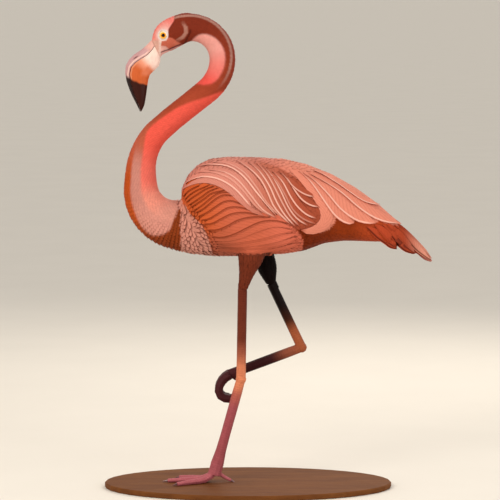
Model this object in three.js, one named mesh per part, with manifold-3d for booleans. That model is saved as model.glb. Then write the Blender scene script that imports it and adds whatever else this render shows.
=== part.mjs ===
// A life-size flamingo, standing on its left leg with the right one drawn up, on a plain oval display base.
// Millimetres, +Z up. The bird faces -X and its left side is towards -Y.
// The origin is the middle of the base's underside.
import * as THREE from 'three';
import { mergeVertices } from 'three/addons/utils/BufferGeometryUtils.js';
import Module from 'manifold-3d';

const wasm = await Module();
wasm.setup();

// ---- driving dimensions ----
const GAP = 0.3; // between pieces that meet
const REACH = 600; // how far a cutting space goes past what it cuts
const BASE = { length: 736, width: 420, thick: 14, bevel: 2.5 };

// The neck is a chain of arcs in the bird's middle plane, from the nape to the breast.
const NECK = {
  start: [-166, 1163],
  heading: 2,
  bends: [
    { length: 21.5, turn: -2 },
    { length: 125.7, turn: -90 },
    { length: 92.8, turn: -51.6 },
    { length: 139, turn: 0 },
    { length: 145.3, turn: 51.6 },
    { length: 28.8, turn: 0 },
    { length: 143.8, turn: 82 },
    { length: 90, turn: 0 },
  ],
  depth: [
    [0, 37], [60, 34.5], [180, 33.5], [300, 32], [420, 33.5], [520, 40], [600, 50], [704, 66], [770, 70],
  ],
  lean: [[0, 0.84], [120, 0.92], [560, 0.95], [700, 0.84], [770, 0.8]],
  pieces: [
    { name: 'neck_nape', end: 96, rings: 5 },
    { name: 'neck_crook', end: 192, rings: 7 },
    { name: 'neck_turn', end: 300, rings: 5 },
    { name: 'neck_slope', end: 410, rings: 2 },
    { name: 'neck_middle', end: 500, rings: 4 },
    { name: 'neck_low', end: 590, rings: 4 },
    { name: 'neck_base', end: 760, rings: 8 },
  ],
};

// The body's side outline and half width. Its nose is rounded, and its back falls as a power of its length.
const BODY = {
  front: -176,
  end: 474,
  crest: -60,
  crestZ: 838,
  noseDrop: 120,
  noseRound: 2.25,
  fall: -8,
  backDrop: 270,
  backPower: 2.2,
  belly: [
    [-176, 598], [-110, 581], [5, 580.5], [130, 590], [212, 617],
    [330, 617], [348, 616], [360, 610], [384, 590], [474, 562],
  ],
  sideWidth: [[-176, 46], [-110, 92], [0, 107], [130, 97], [260, 64], [388, 29], [474, 10]],
  squareness: 2.15,
};
const RUMP = { end: 360, drop: [[140, 0], [220, 20], [330, 34], [360, 48]] };

// The folded wing in side view: its coverts' lower edge, its tertials and its pointed primaries.
const WING = {
  backStrip: [[-216, 30], [40, 32], [110, 14], [170, 0.2], [520, 0.2]],
  wall: 12,
  lowerEdge: [
    [-196, 746], [-110, 652], [-84, 624], [-33, 607], [56, 602], [112, 607], [134, 624], [128, 650],
  ],
  covertTop: [275, 898],
  proud: 4,
  tertials: [
    { root: [100, 756], tip: [196, 650], width: 88, point: 0.5 },
    { root: [150, 757], tip: [266, 672], width: 46, point: 0.4 },
    { root: [190, 777], tip: [332, 670], width: 50, point: 0.4 },
    { root: [190, 794], tip: [392, 664], width: 62, point: 0.4 },
  ],
};
const PRIMARIES = {
  wall: 10,
  apart: 6,
  feathers: [
    { root: [296, 710], tip: [428, 590], width: 26, point: 0.9 },
    { root: [320, 718], tip: [474, 571], width: 36, point: 0.9 },
  ],
};
const TAIL = {
  root: [290, 657],
  tip: [381, 606],
  feathers: 5,
  width: 30,
  thick: 20,
  thin: 0.25,
  spread: [8, 26],
  shorter: 0.09,
};

// The head, between a top and an under line, and the bill that goes on from it round its bend.
const HEAD = {
  overlap: 8,
  top: [
    [-243, 1133.5], [-239, 1154], [-226, 1172], [-206, 1185.5], [-186, 1193.5], [-165, 1200], [-148, 1200.5],
  ],
  under: [
    [-222, 1089], [-214, 1094], [-203, 1099], [-190, 1105], [-175, 1113], [-160, 1121], [-148, 1126.3],
  ],
  width: [[0, 15], [0.18, 20], [0.42, 27], [0.68, 30], [1, 31]],
};
const BILL = {
  top: [
    [-243, 1133], [-266, 1110.5], [-294.5, 1090.5], [-311, 1065.5],
    [-309.5, 1031], [-297, 996], [-283, 968], [-274, 949.5],
  ],
  under: [
    [-222, 1089], [-223.5, 1068], [-238, 1052.5], [-248.5, 1042],
    [-254, 1017.5], [-258.5, 987], [-263.5, 963.5], [-271.5, 949],
  ],
  width: [[0, 15], [0.2, 16.5], [0.45, 17], [0.6, 15.5], [0.8, 12], [0.93, 8], [1, 3]],
  mouth: [[0, 0.36], [0.2, 0.32], [0.42, 0.22], [0.6, 0.2], [0.8, 0.24], [1, 0.3]],
  slit: 0.7,
};
const EYE = { at: [-214, 1143.5], radius: 10.5, proud: 3.6 };

// Each leg: hip, end of the feathered thigh, ankle and foot joint, as [x, y, z], and its own radii.
const LEGS = {
  left: {
    hip: [15, -40, 615], knee: [-14, -33, 500], ankle: [-18, -22, 268], foot: [-84, -14, 30],
    thigh: [42.5, 23.5], heel: 14.5, palm: 17,
  },
  right: {
    hip: [31, 42, 615], knee: [60, 46, 506], ankle: [138, 50, 340], foot: [-47, 32, 273],
    thigh: [35, 30], heel: 12.2, palm: 13,
  },
};
const LEG = { knee: 14.5, shank: 12.1, ankle: 13.8, shin: 12.6, squash: 0.85 };
const TOES = {
  lengths: [112, 122, 104],
  radius: [10, 5.4],
  fan: [30, 2, -27],
  web: { from: 26, reach: 0.74, dip: 0.84, thick: 1.6 },
  fold: {
    lengths: [93, 98, 90],
    radius: [13, 11.5],
    curl: [[0, 4], [0.13, 19.5], [0.37, 46], [0.57, 81], [0.73, 126], [0.91, 160], [1, 166]],
    spacing: 16,
  },
  hind: { length: 48, folded: 20, radius: [6.4, 4] },
  claw: { length: 13, radius: [3.2, 0.5], dip: 1.4 },
};

// ---- curves and solids ----
const radians = (degrees) => (degrees * Math.PI) / 180;
const at3 = (list) => new THREE.Vector3(...list);
const inPlane = ([x, z]) => new THREE.Vector3(x, 0, z);

// A smooth function through [place, value] pairs, level beyond its ends.
function smooth(pairs) {
  const slope = (i) => {
    const [a, b] = [pairs[Math.max(i - 1, 0)], pairs[Math.min(i + 1, pairs.length - 1)]];
    return (b[1] - a[1]) / (b[0] - a[0]);
  };
  return (x) => {
    if (x <= pairs[0][0]) return pairs[0][1];
    if (x >= pairs.at(-1)[0]) return pairs.at(-1)[1];
    const i = pairs.findIndex((p) => p[0] > x) - 1;
    const [x0, y0] = pairs[i];
    const [x1, y1] = pairs[i + 1];
    const [h, t] = [x1 - x0, (x - x0) / (x1 - x0)];
    const [t2, t3] = [t * t, t * t * t];
    return (2 * t3 - 3 * t2 + 1) * y0 + (t3 - 2 * t2 + t) * h * slope(i)
      + (3 * t2 - 2 * t3) * y1 + (t3 - t2) * h * slope(i + 1);
  };
}

// A rail through [x, z] points of the middle plane.
function rail(points) {
  return new THREE.CatmullRomCurve3(points.map(inPlane), false, 'centripetal');
}

// A three.js geometry as a solid for cutting and joining.
function solid(geometry) {
  const bare = geometry.clone();
  bare.deleteAttribute('normal');
  bare.deleteAttribute('uv');
  const merged = mergeVertices(bare, 1e-4);
  const faces = [];
  for (let i = 0; i < merged.index.count; i += 3) {
    const [a, b, c] = [0, 1, 2].map((k) => merged.index.getX(i + k));
    if (a !== b && b !== c && c !== a) faces.push(a, b, c);
  }
  const make = (triVerts) => new wasm.Manifold(new wasm.Mesh({
    numProp: 3, vertProperties: merged.attributes.position.array, triVerts: new Uint32Array(triVerts),
  }));
  const made = make(faces);
  return made.volume() < 0 ? make(faces.reverse()) : made;
}

// A closed tube: place(along, angle, out) puts each vertex of a unit cylinder where it belongs.
function tube(rings, sides, place) {
  const geometry = new THREE.CylinderGeometry(1, 1, 1, sides, rings);
  const position = geometry.getAttribute('position');
  for (let i = 0; i < position.count; i += 1) {
    const [x, y, z] = [position.getX(i), position.getY(i), position.getZ(i)];
    position.setXYZ(i, ...place(0.5 - y, Math.atan2(z, x), Math.min(1, Math.hypot(x, z))));
  }
  return solid(geometry);
}

// A tube along a line of points, with a round section whose radius changes.
function limb(points, radius, rings, sides, squash = 1) {
  const curve = points.length > 2
    ? new THREE.CatmullRomCurve3(points, false, 'centripetal')
    : new THREE.LineCurve3(...points);
  return tube(rings, sides, (along, angle, out) => {
    const centre = curve.getPointAt(along);
    const ahead = curve.getTangentAt(along);
    const side = new THREE.Vector3(0, 1, 0).cross(ahead).normalize();
    const over = ahead.clone().cross(side);
    return centre
      .addScaledVector(side, radius(along) * squash * out * Math.cos(angle))
      .addScaledVector(over, radius(along) * out * Math.sin(angle))
      .toArray();
  });
}

// A solid between two rails of the middle plane, with a half width along it.
function between(top, under, width, rings, sides, from = 0, to = 1) {
  return tube(rings, sides, (along, angle, out) => {
    const t = from + (to - from) * along;
    const [a, b] = [top.getPoint(t), under.getPoint(t)];
    const centre = a.clone().lerp(b, 0.5);
    const half = a.sub(b).multiplyScalar(0.5);
    centre.addScaledVector(half, out * Math.cos(angle));
    centre.y += width(t) * out * Math.sin(angle);
    return centre.toArray();
  });
}

// A side-view outline as a slab across the bird.
function slab(outline, from, to) {
  const geometry = new THREE.ExtrudeGeometry(outline, {
    depth: to - from, bevelEnabled: false, curveSegments: 5,
  });
  geometry.rotateX(Math.PI / 2);
  geometry.translate(0, to, 0);
  return solid(geometry);
}

function block(low, high) {
  const size = high.map((v, i) => v - low[i]);
  const geometry = new THREE.BoxGeometry(...size);
  geometry.translate(...high.map((v, i) => (v + low[i]) / 2));
  return solid(geometry);
}

const join = (list) => list.reduce((all, one) => all.add(one));

// The biggest of a cut solid's bodies.
function largest(made) {
  return made.decompose().reduce((best, one) => (one.volume() > best.volume() ? one : best));
}

function ball(centre, radius, sides = 12, rings = 8) {
  const geometry = new THREE.SphereGeometry(radius, sides, rings);
  geometry.translate(...centre);
  return solid(geometry);
}

// ---- the bird's parts ----
const group = new THREE.Group();
const bird = new THREE.Group();
bird.position.z = BASE.thick;
group.add(bird);

const finishes = {
  plumage: { color: 0xd98672, roughness: 0.85 },
  wing: { color: 0xd07a62, roughness: 0.8 },
  flight: { color: 0xa8452c, roughness: 0.75 },
  bill: { color: 0xcf6a3a, roughness: 0.45 },
  eye: { color: 0xe0a020, roughness: 0.1 },
  leg: { color: 0x8a4438, roughness: 0.6 },
  claw: { color: 0x3a2622, roughness: 0.5 },
  base: { color: 0x6b4a2c, roughness: 0.6 },
};

// Adds a solid to the bird, or to another group, as a named mesh.
function add(name, made, finish, holder = bird) {
  const { numProp, vertProperties, triVerts } = made.getMesh();
  const positions = new Float32Array((vertProperties.length / numProp) * 3);
  for (let i = 0; i < positions.length / 3; i += 1) {
    positions.set(vertProperties.subarray(i * numProp, i * numProp + 3), i * 3);
  }
  const geometry = new THREE.BufferGeometry();
  geometry.setAttribute('position', new THREE.BufferAttribute(positions, 3));
  geometry.setIndex(new THREE.BufferAttribute(new Uint32Array(triVerts), 1));
  geometry.computeVertexNormals();
  const material = new THREE.MeshStandardMaterial({ ...finishes[finish], metalness: 0 });
  const mesh = new THREE.Mesh(geometry, material);
  mesh.name = name;
  holder.add(mesh);
}

// The neck's centre and heading at a length from the nape.
function neckAt(length) {
  let [x, z] = NECK.start;
  let heading = radians(NECK.heading);
  let left = length;
  for (const bend of NECK.bends) {
    const run = Math.min(left, bend.length);
    const turn = radians(bend.turn) * (run / bend.length);
    const chord = Math.abs(turn) < 1e-6 ? run : (2 * run * Math.sin(turn / 2)) / turn;
    x += chord * Math.cos(heading + turn / 2);
    z += chord * Math.sin(heading + turn / 2);
    heading += turn;
    left -= run;
    if (left <= 0) break;
  }
  return { x, z, heading };
}
const neckDepth = smooth(NECK.depth);
const neckLean = smooth(NECK.lean);

function neckTube(from, to, rings, sides = 16) {
  return tube(rings, sides, (along, angle, out) => {
    const length = from + (to - from) * along;
    const { x, z, heading } = neckAt(length);
    const up = neckDepth(length) * out * Math.cos(angle);
    return [
      x - up * Math.sin(heading),
      neckDepth(length) * neckLean(length) * out * Math.sin(angle),
      z + up * Math.cos(heading),
    ];
  });
}

// The head's half width at a point of its middle plane, found along and across its two lines.
function headHalfWidthAt([x, z]) {
  const target = new THREE.Vector3(x, 0, z);
  const spans = Array.from({ length: 101 }, (_, i) => {
    const [top, under] = [headTop.getPoint(i / 100), headUnder.getPoint(i / 100)];
    const line = new THREE.Line3(top, under);
    const share = line.closestPointToPointParameter(target, true);
    return { along: i / 100, share, miss: line.at(share, new THREE.Vector3()).distanceTo(target) };
  });
  const { along, share } = spans.reduce((best, one) => (one.miss < best.miss ? one : best));
  return headWidth(along) * Math.sqrt(1 - (2 * share - 1) ** 2);
}

// The body's back, belly and half width along X.
const belly = smooth(BODY.belly);
const sideWidth = smooth(BODY.sideWidth);
function back(x) {
  if (x < BODY.crest) {
    const u = Math.min(1, (BODY.crest - x) / (BODY.crest - BODY.front));
    return BODY.crestZ - BODY.noseDrop * (1 - Math.sqrt(1 - u ** BODY.noseRound));
  }
  const u = Math.max(0, x - BODY.fall) / (BODY.end - BODY.fall);
  return BODY.crestZ - BODY.backDrop * Math.min(1, u) ** BODY.backPower;
}

// A body of rounded sections across X, drawn in by `inset` all round.
function hull(inset, to = BODY.end, lower = () => 0, rings = 16, sides = 18) {
  const bulge = (v) => Math.sign(v) * Math.abs(v) ** (2 / BODY.squareness);
  const from = BODY.front + inset;
  return tube(rings, sides, (along, angle, out) => {
    const x = from + (to - inset - from) * (0.5 - 0.5 * Math.cos(Math.PI * along));
    const under = belly(x) + inset;
    const top = Math.max(under + 2, back(x) - lower(x) - inset);
    return [
      x,
      Math.max(1, sideWidth(x) - inset) * out * bulge(Math.sin(angle)),
      (top + under) / 2 + ((top - under) / 2) * out * bulge(Math.cos(angle)),
    ];
  });
}

// A feather's outline from its root to its tip, with a rounder or sharper end, grown outwards by `grow`.
function leaf({ root, tip, width, point }, grow) {
  const axis = new THREE.Vector2(tip[0] - root[0], tip[1] - root[1]);
  const length = axis.length();
  const half = width / 2 + grow;
  const end = length + grow;
  const shoulder = length - width * point;
  const shape = new THREE.Shape();
  shape.moveTo(0, -half);
  shape.lineTo(shoulder, -half);
  shape.quadraticCurveTo(end, -half, end, 0);
  shape.quadraticCurveTo(end, half, shoulder, half);
  shape.lineTo(0, half);
  const turned = shape.getPoints(4).map((p) => p.rotateAround(new THREE.Vector2(), axis.angle()));
  return new THREE.Shape(turned.map((p) => p.add(new THREE.Vector2(...root))));
}

// Everything on one side (-1 left, 1 right) that lies outside the body's back strip.
function outsideStrip(side, grow) {
  const edge = WING.backStrip.map(([x, y]) => [x, Math.max(GAP / 2, y - grow)]);
  const outline = [...edge, [BODY.end + REACH, REACH], [BODY.front - REACH, REACH]];
  const shape = new THREE.Shape(outline.map(([x, y]) => new THREE.Vector2(x, side * y)));
  const geometry = new THREE.ExtrudeGeometry(shape, { depth: 2 * REACH, bevelEnabled: false });
  geometry.translate(0, 0, BODY.crestZ - REACH);
  return solid(geometry);
}

function covertOutline(grow) {
  const edge = WING.lowerEdge.map(([x, z], i) => [x + (i > 5 ? grow : -grow), z - grow]);
  const outline = [...edge, WING.covertTop, [BODY.front - REACH, WING.covertTop[1]]];
  return new THREE.Shape(outline.map((p) => new THREE.Vector2(...p)));
}

// The body's inside, plainer because it isn't seen.
const core = (inset) => hull(inset, BODY.end, () => 0, 10, 14);

// From the body's middle outwards on one side (-1 left, 1 right).
function across(side, near) {
  return side < 0 ? [-REACH, -near] : [near, REACH];
}

// The space of a folded wing, outside the body's core.
function wingSpace(side, grow) {
  const shapes = [covertOutline(grow), ...WING.tertials.map((feather) => leaf(feather, grow))];
  return join(shapes.map((shape) => slab(shape, ...across(side, GAP / 2))))
    .intersect(outsideStrip(side, grow))
    .subtract(core(WING.wall + grow));
}

// The space of a wing's primaries, which leaves room for the tail between the two wings.
function primarySpace(side, grow) {
  const near = PRIMARIES.apart - grow;
  return join(PRIMARIES.feathers.map((feather) => slab(leaf(feather, grow), ...across(side, near))))
    .subtract(core(PRIMARIES.wall + grow));
}

// ---- trunk, wings and tail ----
const rumpDrop = smooth(RUMP.drop);
const body = (grow) => hull(-grow, RUMP.end, rumpDrop);

const SIDES = { left: -1, right: 1 };
const wingRoom = {};
let trunk = body(0);
for (const [name, side] of Object.entries(SIDES)) {
  add(`wing_${name}`, largest(hull(-WING.proud).intersect(wingSpace(side, 0))), 'wing');
  wingRoom[name] = hull(-WING.proud - GAP).intersect(wingSpace(side, GAP));
  const primaries = hull(0).intersect(primarySpace(side, 0));
  add(`primaries_${name}`, largest(primaries.subtract(wingRoom[name]).subtract(body(GAP))), 'flight');
  trunk = trunk.subtract(wingRoom[name]);
}
add('trunk', largest(trunk), 'plumage');

function tailFeather(place) {
  const [root, tip] = [inPlane(TAIL.root), inPlane(TAIL.tip)];
  root.y = place * TAIL.spread[0];
  tip.y = place * TAIL.spread[1];
  tip.lerp(root, Math.abs(place) * TAIL.shorter);
  return tube(4, 6, (along, angle, out) => {
    const centre = root.clone().lerp(tip, along);
    const width = (TAIL.width / 2) * Math.sqrt(1.02 - along ** 6);
    centre.y += width * out * Math.cos(angle);
    centre.z += (TAIL.thick / 2) * (1 - TAIL.thin * along) * out * Math.sin(angle);
    return centre.toArray();
  });
}
const places = Array.from({ length: TAIL.feathers }, (_, i) => (2 * i) / (TAIL.feathers - 1) - 1);
const tailRoom = Object.values(SIDES).map((side) => primarySpace(side, GAP));
const tail = join(places.map(tailFeather)).subtract(body(GAP)).subtract(join(tailRoom));
add('tail', largest(tail), 'flight');

// ---- neck, head, bill and eyes ----
const headTop = rail(HEAD.top);
const headUnder = rail(HEAD.under);
const nape = HEAD.top.at(-1)[0];
const beforeNape = block([nape - REACH, -REACH, 0], [nape + GAP, REACH, 3 * REACH]);
NECK.pieces.forEach(({ name, end, rings }, i) => {
  const length = neckTube(i ? NECK.pieces[i - 1].end : -HEAD.overlap, end - GAP, rings);
  add(name, largest(length.subtract(i === 0 ? beforeNape : body(GAP))), 'plumage');
});

const headWidth = smooth(HEAD.width);
let head = between(headTop, headUnder, headWidth, 10, 16);
const eyeDepth = headHalfWidthAt(EYE.at) + EYE.proud - EYE.radius;
for (const [name, side] of Object.entries(SIDES)) {
  const centre = [EYE.at[0], side * eyeDepth, EYE.at[1]];
  head = head.subtract(ball(centre, EYE.radius + GAP));
  add(`eye_${name}`, ball(centre, EYE.radius), 'eye');
}
add('head', largest(head), 'plumage');

// The mouth's line, as a side-view outline of all that lies on its upper side.
const billTop = rail(BILL.top);
const billUnder = rail(BILL.under);
const mouth = smooth(BILL.mouth);
function aboveMouth(slit) {
  const steps = Array.from({ length: 13 }, (_, i) => i / 12);
  const point = (t, share) => billTop.getPoint(t).lerp(billUnder.getPoint(t), share);
  const depth = (t) => billTop.getPoint(t).distanceTo(billUnder.getPoint(t));
  const along = steps.map((t) => point(t, mouth(t) + slit / depth(t)));
  const outside = steps.map((t) => point(t, -1)).reverse();
  return new THREE.Shape([...along, ...outside].map((p) => new THREE.Vector2(p.x, p.z)));
}
const bill = between(billTop, billUnder, smooth(BILL.width), 12, 14, 0.006);
add('bill_upper', largest(bill.intersect(slab(aboveMouth(0), -REACH, REACH))), 'bill');
add('bill_lower', largest(bill.subtract(slab(aboveMouth(BILL.slit), -REACH, REACH))), 'bill');

// ---- legs ----
const down = new THREE.Vector3(0, 0, -1);
const floor = block([-REACH, -REACH, -REACH], [REACH, REACH, GAP]);

// A run of points that starts at `start` and turns in the middle plane by `turn(along)` from `heading`.
function curled(start, heading, length, turn, steps = 10) {
  const points = [start.clone()];
  for (let i = 0; i < steps; i += 1) {
    const angle = heading + radians(turn((i + 0.5) / steps));
    const step = new THREE.Vector3(Math.cos(angle), 0, Math.sin(angle)).multiplyScalar(length / steps);
    points.push(points.at(-1).clone().add(step));
  }
  return points;
}

// A toe and its claw, both along the same run of points.
function toe(points, [root, tip], rings = 6) {
  const made = limb(points, (t) => root + (tip - root) * t, rings, 6);
  const ahead = points.at(-1).clone().sub(points.at(-2)).normalize();
  const from = points.at(-1).clone().addScaledVector(ahead, GAP);
  const to = from.clone().addScaledVector(ahead, TOES.claw.length).addScaledVector(down, TOES.claw.dip);
  const [thick, sharp] = TOES.claw.radius;
  return { made, claw: limb([from, to], (t) => thick + (sharp - thick) * t ** 1.4, 2, 6) };
}

// The toes of the foot that stands, spread and webbed, with their soles cut flat.
function standingToes(joint) {
  const [near, far] = TOES.radius.map((r) => r * 0.9 - joint.z);
  return TOES.lengths.map((length, i) => {
    const fan = radians(180 + TOES.fan[i]);
    const out = new THREE.Vector3(Math.cos(fan), Math.sin(fan), 0);
    const run = [[0, 0], [0.12, -joint.z * 0.42], [0.3, near], [0.65, (near + far) / 2], [1, far]];
    const place = (share) => joint.clone().addScaledVector(out, length * share);
    return run.map(([share, rise]) => place(share).setZ(joint.z + rise));
  });
}
function web(joint, a, b) {
  const near = (p) => new THREE.Vector2(p.x - joint.x, p.y - joint.y);
  const [one, two] = [near(a), near(b)];
  const { from, reach, dip, thick } = TOES.web;
  const shape = new THREE.Shape();
  shape.moveTo(...one.clone().setLength(from).toArray());
  shape.lineTo(...one.clone().multiplyScalar(reach).toArray());
  const middle = one.clone().add(two).multiplyScalar(0.5 * reach * dip);
  shape.quadraticCurveTo(...middle.toArray(), ...two.clone().multiplyScalar(reach).toArray());
  shape.lineTo(...two.clone().setLength(from).toArray());
  const geometry = new THREE.ExtrudeGeometry(shape, { depth: thick, bevelEnabled: false, curveSegments: 4 });
  geometry.translate(joint.x, joint.y, GAP);
  return solid(geometry);
}

for (const [name, place] of Object.entries(LEGS)) {
  const [hip, knee, ankle, joint] = [place.hip, place.knee, place.ankle, place.foot].map(at3);
  const [wide, narrow] = place.thigh;
  const thigh = smooth([[0, wide], [0.3, wide * 0.92], [0.65, narrow], [1, LEG.knee]]);
  const thighTo = (grow) => limb(
    [hip, knee.clone().add(knee.clone().sub(hip).setLength(grow))],
    (t) => thigh(t) + grow, 6, 12, LEG.squash,
  );
  add(`thigh_${name}`, largest(thighTo(0).subtract(body(GAP)).subtract(wingRoom[name])), 'plumage');

  const shin = smooth([
    [0, LEG.ankle * 0.85], [0.12, LEG.shin], [0.75, LEG.shin], [0.9, place.heel], [1, place.palm],
  ]);
  const toward = joint.clone().sub(ankle).normalize();
  const footTop = joint.clone().addScaledVector(toward, -place.palm);
  const tarsusTo = (grow) => limb([ankle, footTop], (t) => shin(t) + grow, 6, 8)
    .add(ball(ankle.toArray(), LEG.ankle + grow, 10, 6));
  add(`tarsus_${name}`, largest(tarsusTo(0)), 'leg');
  const shank = smooth([[0, LEG.shank], [0.9, LEG.shank], [1, LEG.ankle * 0.9]]);
  const bare = limb([knee, ankle], shank, 4, 8).subtract(tarsusTo(GAP)).subtract(thighTo(GAP));
  add(`shank_${name}`, largest(bare), 'leg');

  const stands = name === 'left';
  const heading = Math.atan2(toward.z, toward.x);
  const longest = Math.max(...TOES.fold.lengths);
  const runs = stands
    ? standingToes(joint)
    : TOES.fold.lengths.map((length, i) => {
      const start = joint.clone();
      start.y += (i - 1) * TOES.fold.spacing;
      const turn = smooth(TOES.fold.curl);
      return curled(start, heading, length, (t) => turn((t * length) / longest));
    });
  const toes = runs.map((run) => (stands ? toe(run, TOES.radius) : toe(run, TOES.fold.radius, 7)));
  const hindRun = stands
    ? curled(joint, radians(-40), TOES.hind.length, (t) => 16 * t, 3)
    : curled(joint, heading + radians(120), TOES.hind.folded, () => 0, 3);
  const hind = toe(hindRun, TOES.hind.radius);
  const ahead = joint.clone().addScaledVector(toward, -place.palm + GAP);
  const beyond = joint.clone().addScaledVector(toward, place.palm * (stands ? 0.6 : 0.1));
  const palm = limb([ahead, beyond], () => place.palm, 2, 10);
  const webs = stands ? [0, 1].map((i) => web(joint, runs[i].at(-1), runs[i + 1].at(-1))) : [];
  const foot = join([palm, ...toes.map((one) => one.made), hind.made, ...webs]);
  const clear = limb([ankle, footTop.clone().addScaledVector(toward, GAP)], () => place.palm * 1.6, 1, 8);
  add(`foot_${name}`, largest(foot.subtract(floor).subtract(clear)), 'leg');
  [...toes, hind].forEach((one, i) => {
    const label = i < 3 ? `claw_${name}_${i + 1}` : `claw_${name}_hind`;
    add(label, largest(one.claw.subtract(floor)), 'claw');
  });
}

// ---- display base ----
const oval = new THREE.Shape();
oval.absellipse(0, 0, BASE.length / 2 - BASE.bevel, BASE.width / 2 - BASE.bevel, 0, 2 * Math.PI);
const slabOfWood = new THREE.ExtrudeGeometry(oval, {
  depth: BASE.thick - 2 * BASE.bevel,
  bevelThickness: BASE.bevel,
  bevelSize: BASE.bevel,
  bevelSegments: 1,
  curveSegments: 20,
});
slabOfWood.translate(0, 0, BASE.bevel);
add('stand_base', solid(slabOfWood), 'base', group);

export default group;
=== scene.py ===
import math

import bmesh
import bpy
import numpy as np
from mathutils import Matrix, Vector
from mathutils.bvhtree import BVHTree
from mathutils.kdtree import KDTree


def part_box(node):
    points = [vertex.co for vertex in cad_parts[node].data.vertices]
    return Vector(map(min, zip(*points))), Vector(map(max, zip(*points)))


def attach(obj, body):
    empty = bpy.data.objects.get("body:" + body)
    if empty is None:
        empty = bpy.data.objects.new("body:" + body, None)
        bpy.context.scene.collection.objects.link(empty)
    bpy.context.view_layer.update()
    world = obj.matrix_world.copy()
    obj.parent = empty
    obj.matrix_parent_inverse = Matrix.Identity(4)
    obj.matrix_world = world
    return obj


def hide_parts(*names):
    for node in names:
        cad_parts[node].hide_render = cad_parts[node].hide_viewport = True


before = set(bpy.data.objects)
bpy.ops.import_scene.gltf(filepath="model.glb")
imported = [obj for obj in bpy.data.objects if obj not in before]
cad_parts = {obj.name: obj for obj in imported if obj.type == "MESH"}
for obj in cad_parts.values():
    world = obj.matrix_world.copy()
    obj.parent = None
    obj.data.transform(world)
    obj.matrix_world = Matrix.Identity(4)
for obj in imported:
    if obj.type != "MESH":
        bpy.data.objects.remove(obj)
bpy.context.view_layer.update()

dice = np.random.default_rng(11)
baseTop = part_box("stand_base")[1].z  # the bird's own heights count from here
sides = {"Left": -1, "Right": 1}  # it faces -X, so its left is towards -Y


# numbers and colours
def linear(code):  # six hex digits, as the shader wants them
    values = np.array([int(code[i:i + 2], 16) / 255 for i in (0, 2, 4)])
    return np.where(values <= 0.04045, values / 12.92, ((values + 0.055) / 1.055) ** 2.4)


def rgba(code):
    return (*linear(code), 1.0)


def unit(vectors):
    return vectors / np.maximum(np.linalg.norm(vectors, axis=-1, keepdims=True), 1e-9)


def ease(low, high, value):  # 0 below low, 1 above high, smooth between
    t = np.clip((value - low) / (high - low), 0, 1)
    return t * t * (3 - 2 * t)


def spot(value, middle, reach):  # 1 at the middle, 0 beyond the reach
    return 1 - ease(0, reach, np.abs(value - middle))


def mixed(colours, others, share):
    return colours + (others - colours) * share[..., None]


def tinted(colours, code, share):  # colours moved towards another by a share of 0 to 1
    return mixed(colours, linear(code), np.clip(share, 0, 1))


def layered(colours, *layers):  # tinted again and again
    for code, share in layers:
        colours = tinted(colours, code, share)
    return colours


def graded(along, first, *turns):  # a colour, and the ones it turns to between two places
    colours = np.broadcast_to(linear(first), (*along.shape, 3))
    for code, low, high in turns:
        colours = tinted(colours, code, ease(low, high, along))
    return colours


def smoothCurve(pairs):  # a smooth function through (place, value) pairs, level beyond its ends
    px, py = np.array(pairs, float).T
    before = np.maximum(np.arange(len(px)) - 1, 0)
    after = np.minimum(np.arange(len(px)) + 1, len(px) - 1)
    slope = (py[after] - py[before]) / (px[after] - px[before])

    def value(x):
        x = np.clip(np.asarray(x, float), px[0], px[-1])
        i = np.clip(np.searchsorted(px, x, side="right") - 1, 0, len(px) - 2)
        h = px[i + 1] - px[i]
        t = (x - px[i]) / h
        return ((2 * t ** 3 - 3 * t ** 2 + 1) * py[i] + (t ** 3 - 2 * t ** 2 + t) * h * slope[i]
                + (3 * t ** 2 - 2 * t ** 3) * py[i + 1] + (t ** 3 - t ** 2) * h * slope[i + 1])
    return value


def through(points, count):  # places spread over a smooth line through points that are given in millimetres
    points = np.array(points, float) / 1000
    marks = np.concatenate([[0], np.cumsum(np.linalg.norm(np.diff(points, axis=0), axis=1))])
    fine = np.linspace(0, marks[-1], count)
    return np.stack([smoothCurve(list(zip(marks, column)))(fine) for column in points.T], -1)


# meshes
def pointsOf(mesh, what="vertices", field="co"):
    values = np.empty(len(getattr(mesh, what)) * 3, np.float32)
    getattr(mesh, what).foreach_get(field, values)
    return values.reshape(-1, 3).astype(float)


def movePoints(mesh, points):
    mesh.vertices.foreach_set("co", points.astype(np.float32).ravel())


def placed(name, data):  # a new object, in the scene
    thing = bpy.data.objects.new(name, data)
    bpy.context.scene.collection.objects.link(thing)
    return thing


def addPiece(name, mesh, material, nodes=()):
    piece = placed(name, mesh)
    mesh.materials.clear()
    mesh.materials.append(material)
    mesh.polygons.foreach_set("use_smooth", np.full(len(mesh.polygons), True))
    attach(piece, "root")
    if nodes:
        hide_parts(*nodes)


def copyOf(nodes):  # the CAD nodes' shapes, merged, to be worked on
    bm = bmesh.new()
    for node in nodes:
        bm.from_mesh(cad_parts[node].data)
    bmesh.ops.remove_doubles(bm, verts=bm.verts, dist=0.00002)
    return bm


def meshOf(name, bm):
    mesh = bpy.data.meshes.new(name)
    bm.to_mesh(mesh)
    bm.free()
    return mesh


def evenShell(name, source, voxel, rounds, whole=True):  # one even surface round copied shapes
    worker = placed(name + "Worker", meshOf(name + "Rough", source))
    even = worker.modifiers.new("even", "REMESH")
    even.mode = "VOXEL"
    even.voxel_size = voxel
    soften = worker.modifiers.new("soften", "SMOOTH")
    soften.factor = 0.5
    soften.iterations = rounds
    shell = bpy.data.meshes.new_from_object(worker.evaluated_get(bpy.context.evaluated_depsgraph_get()))
    bpy.data.objects.remove(worker)
    return outerOnly(name, shell) if whole else shell


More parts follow.
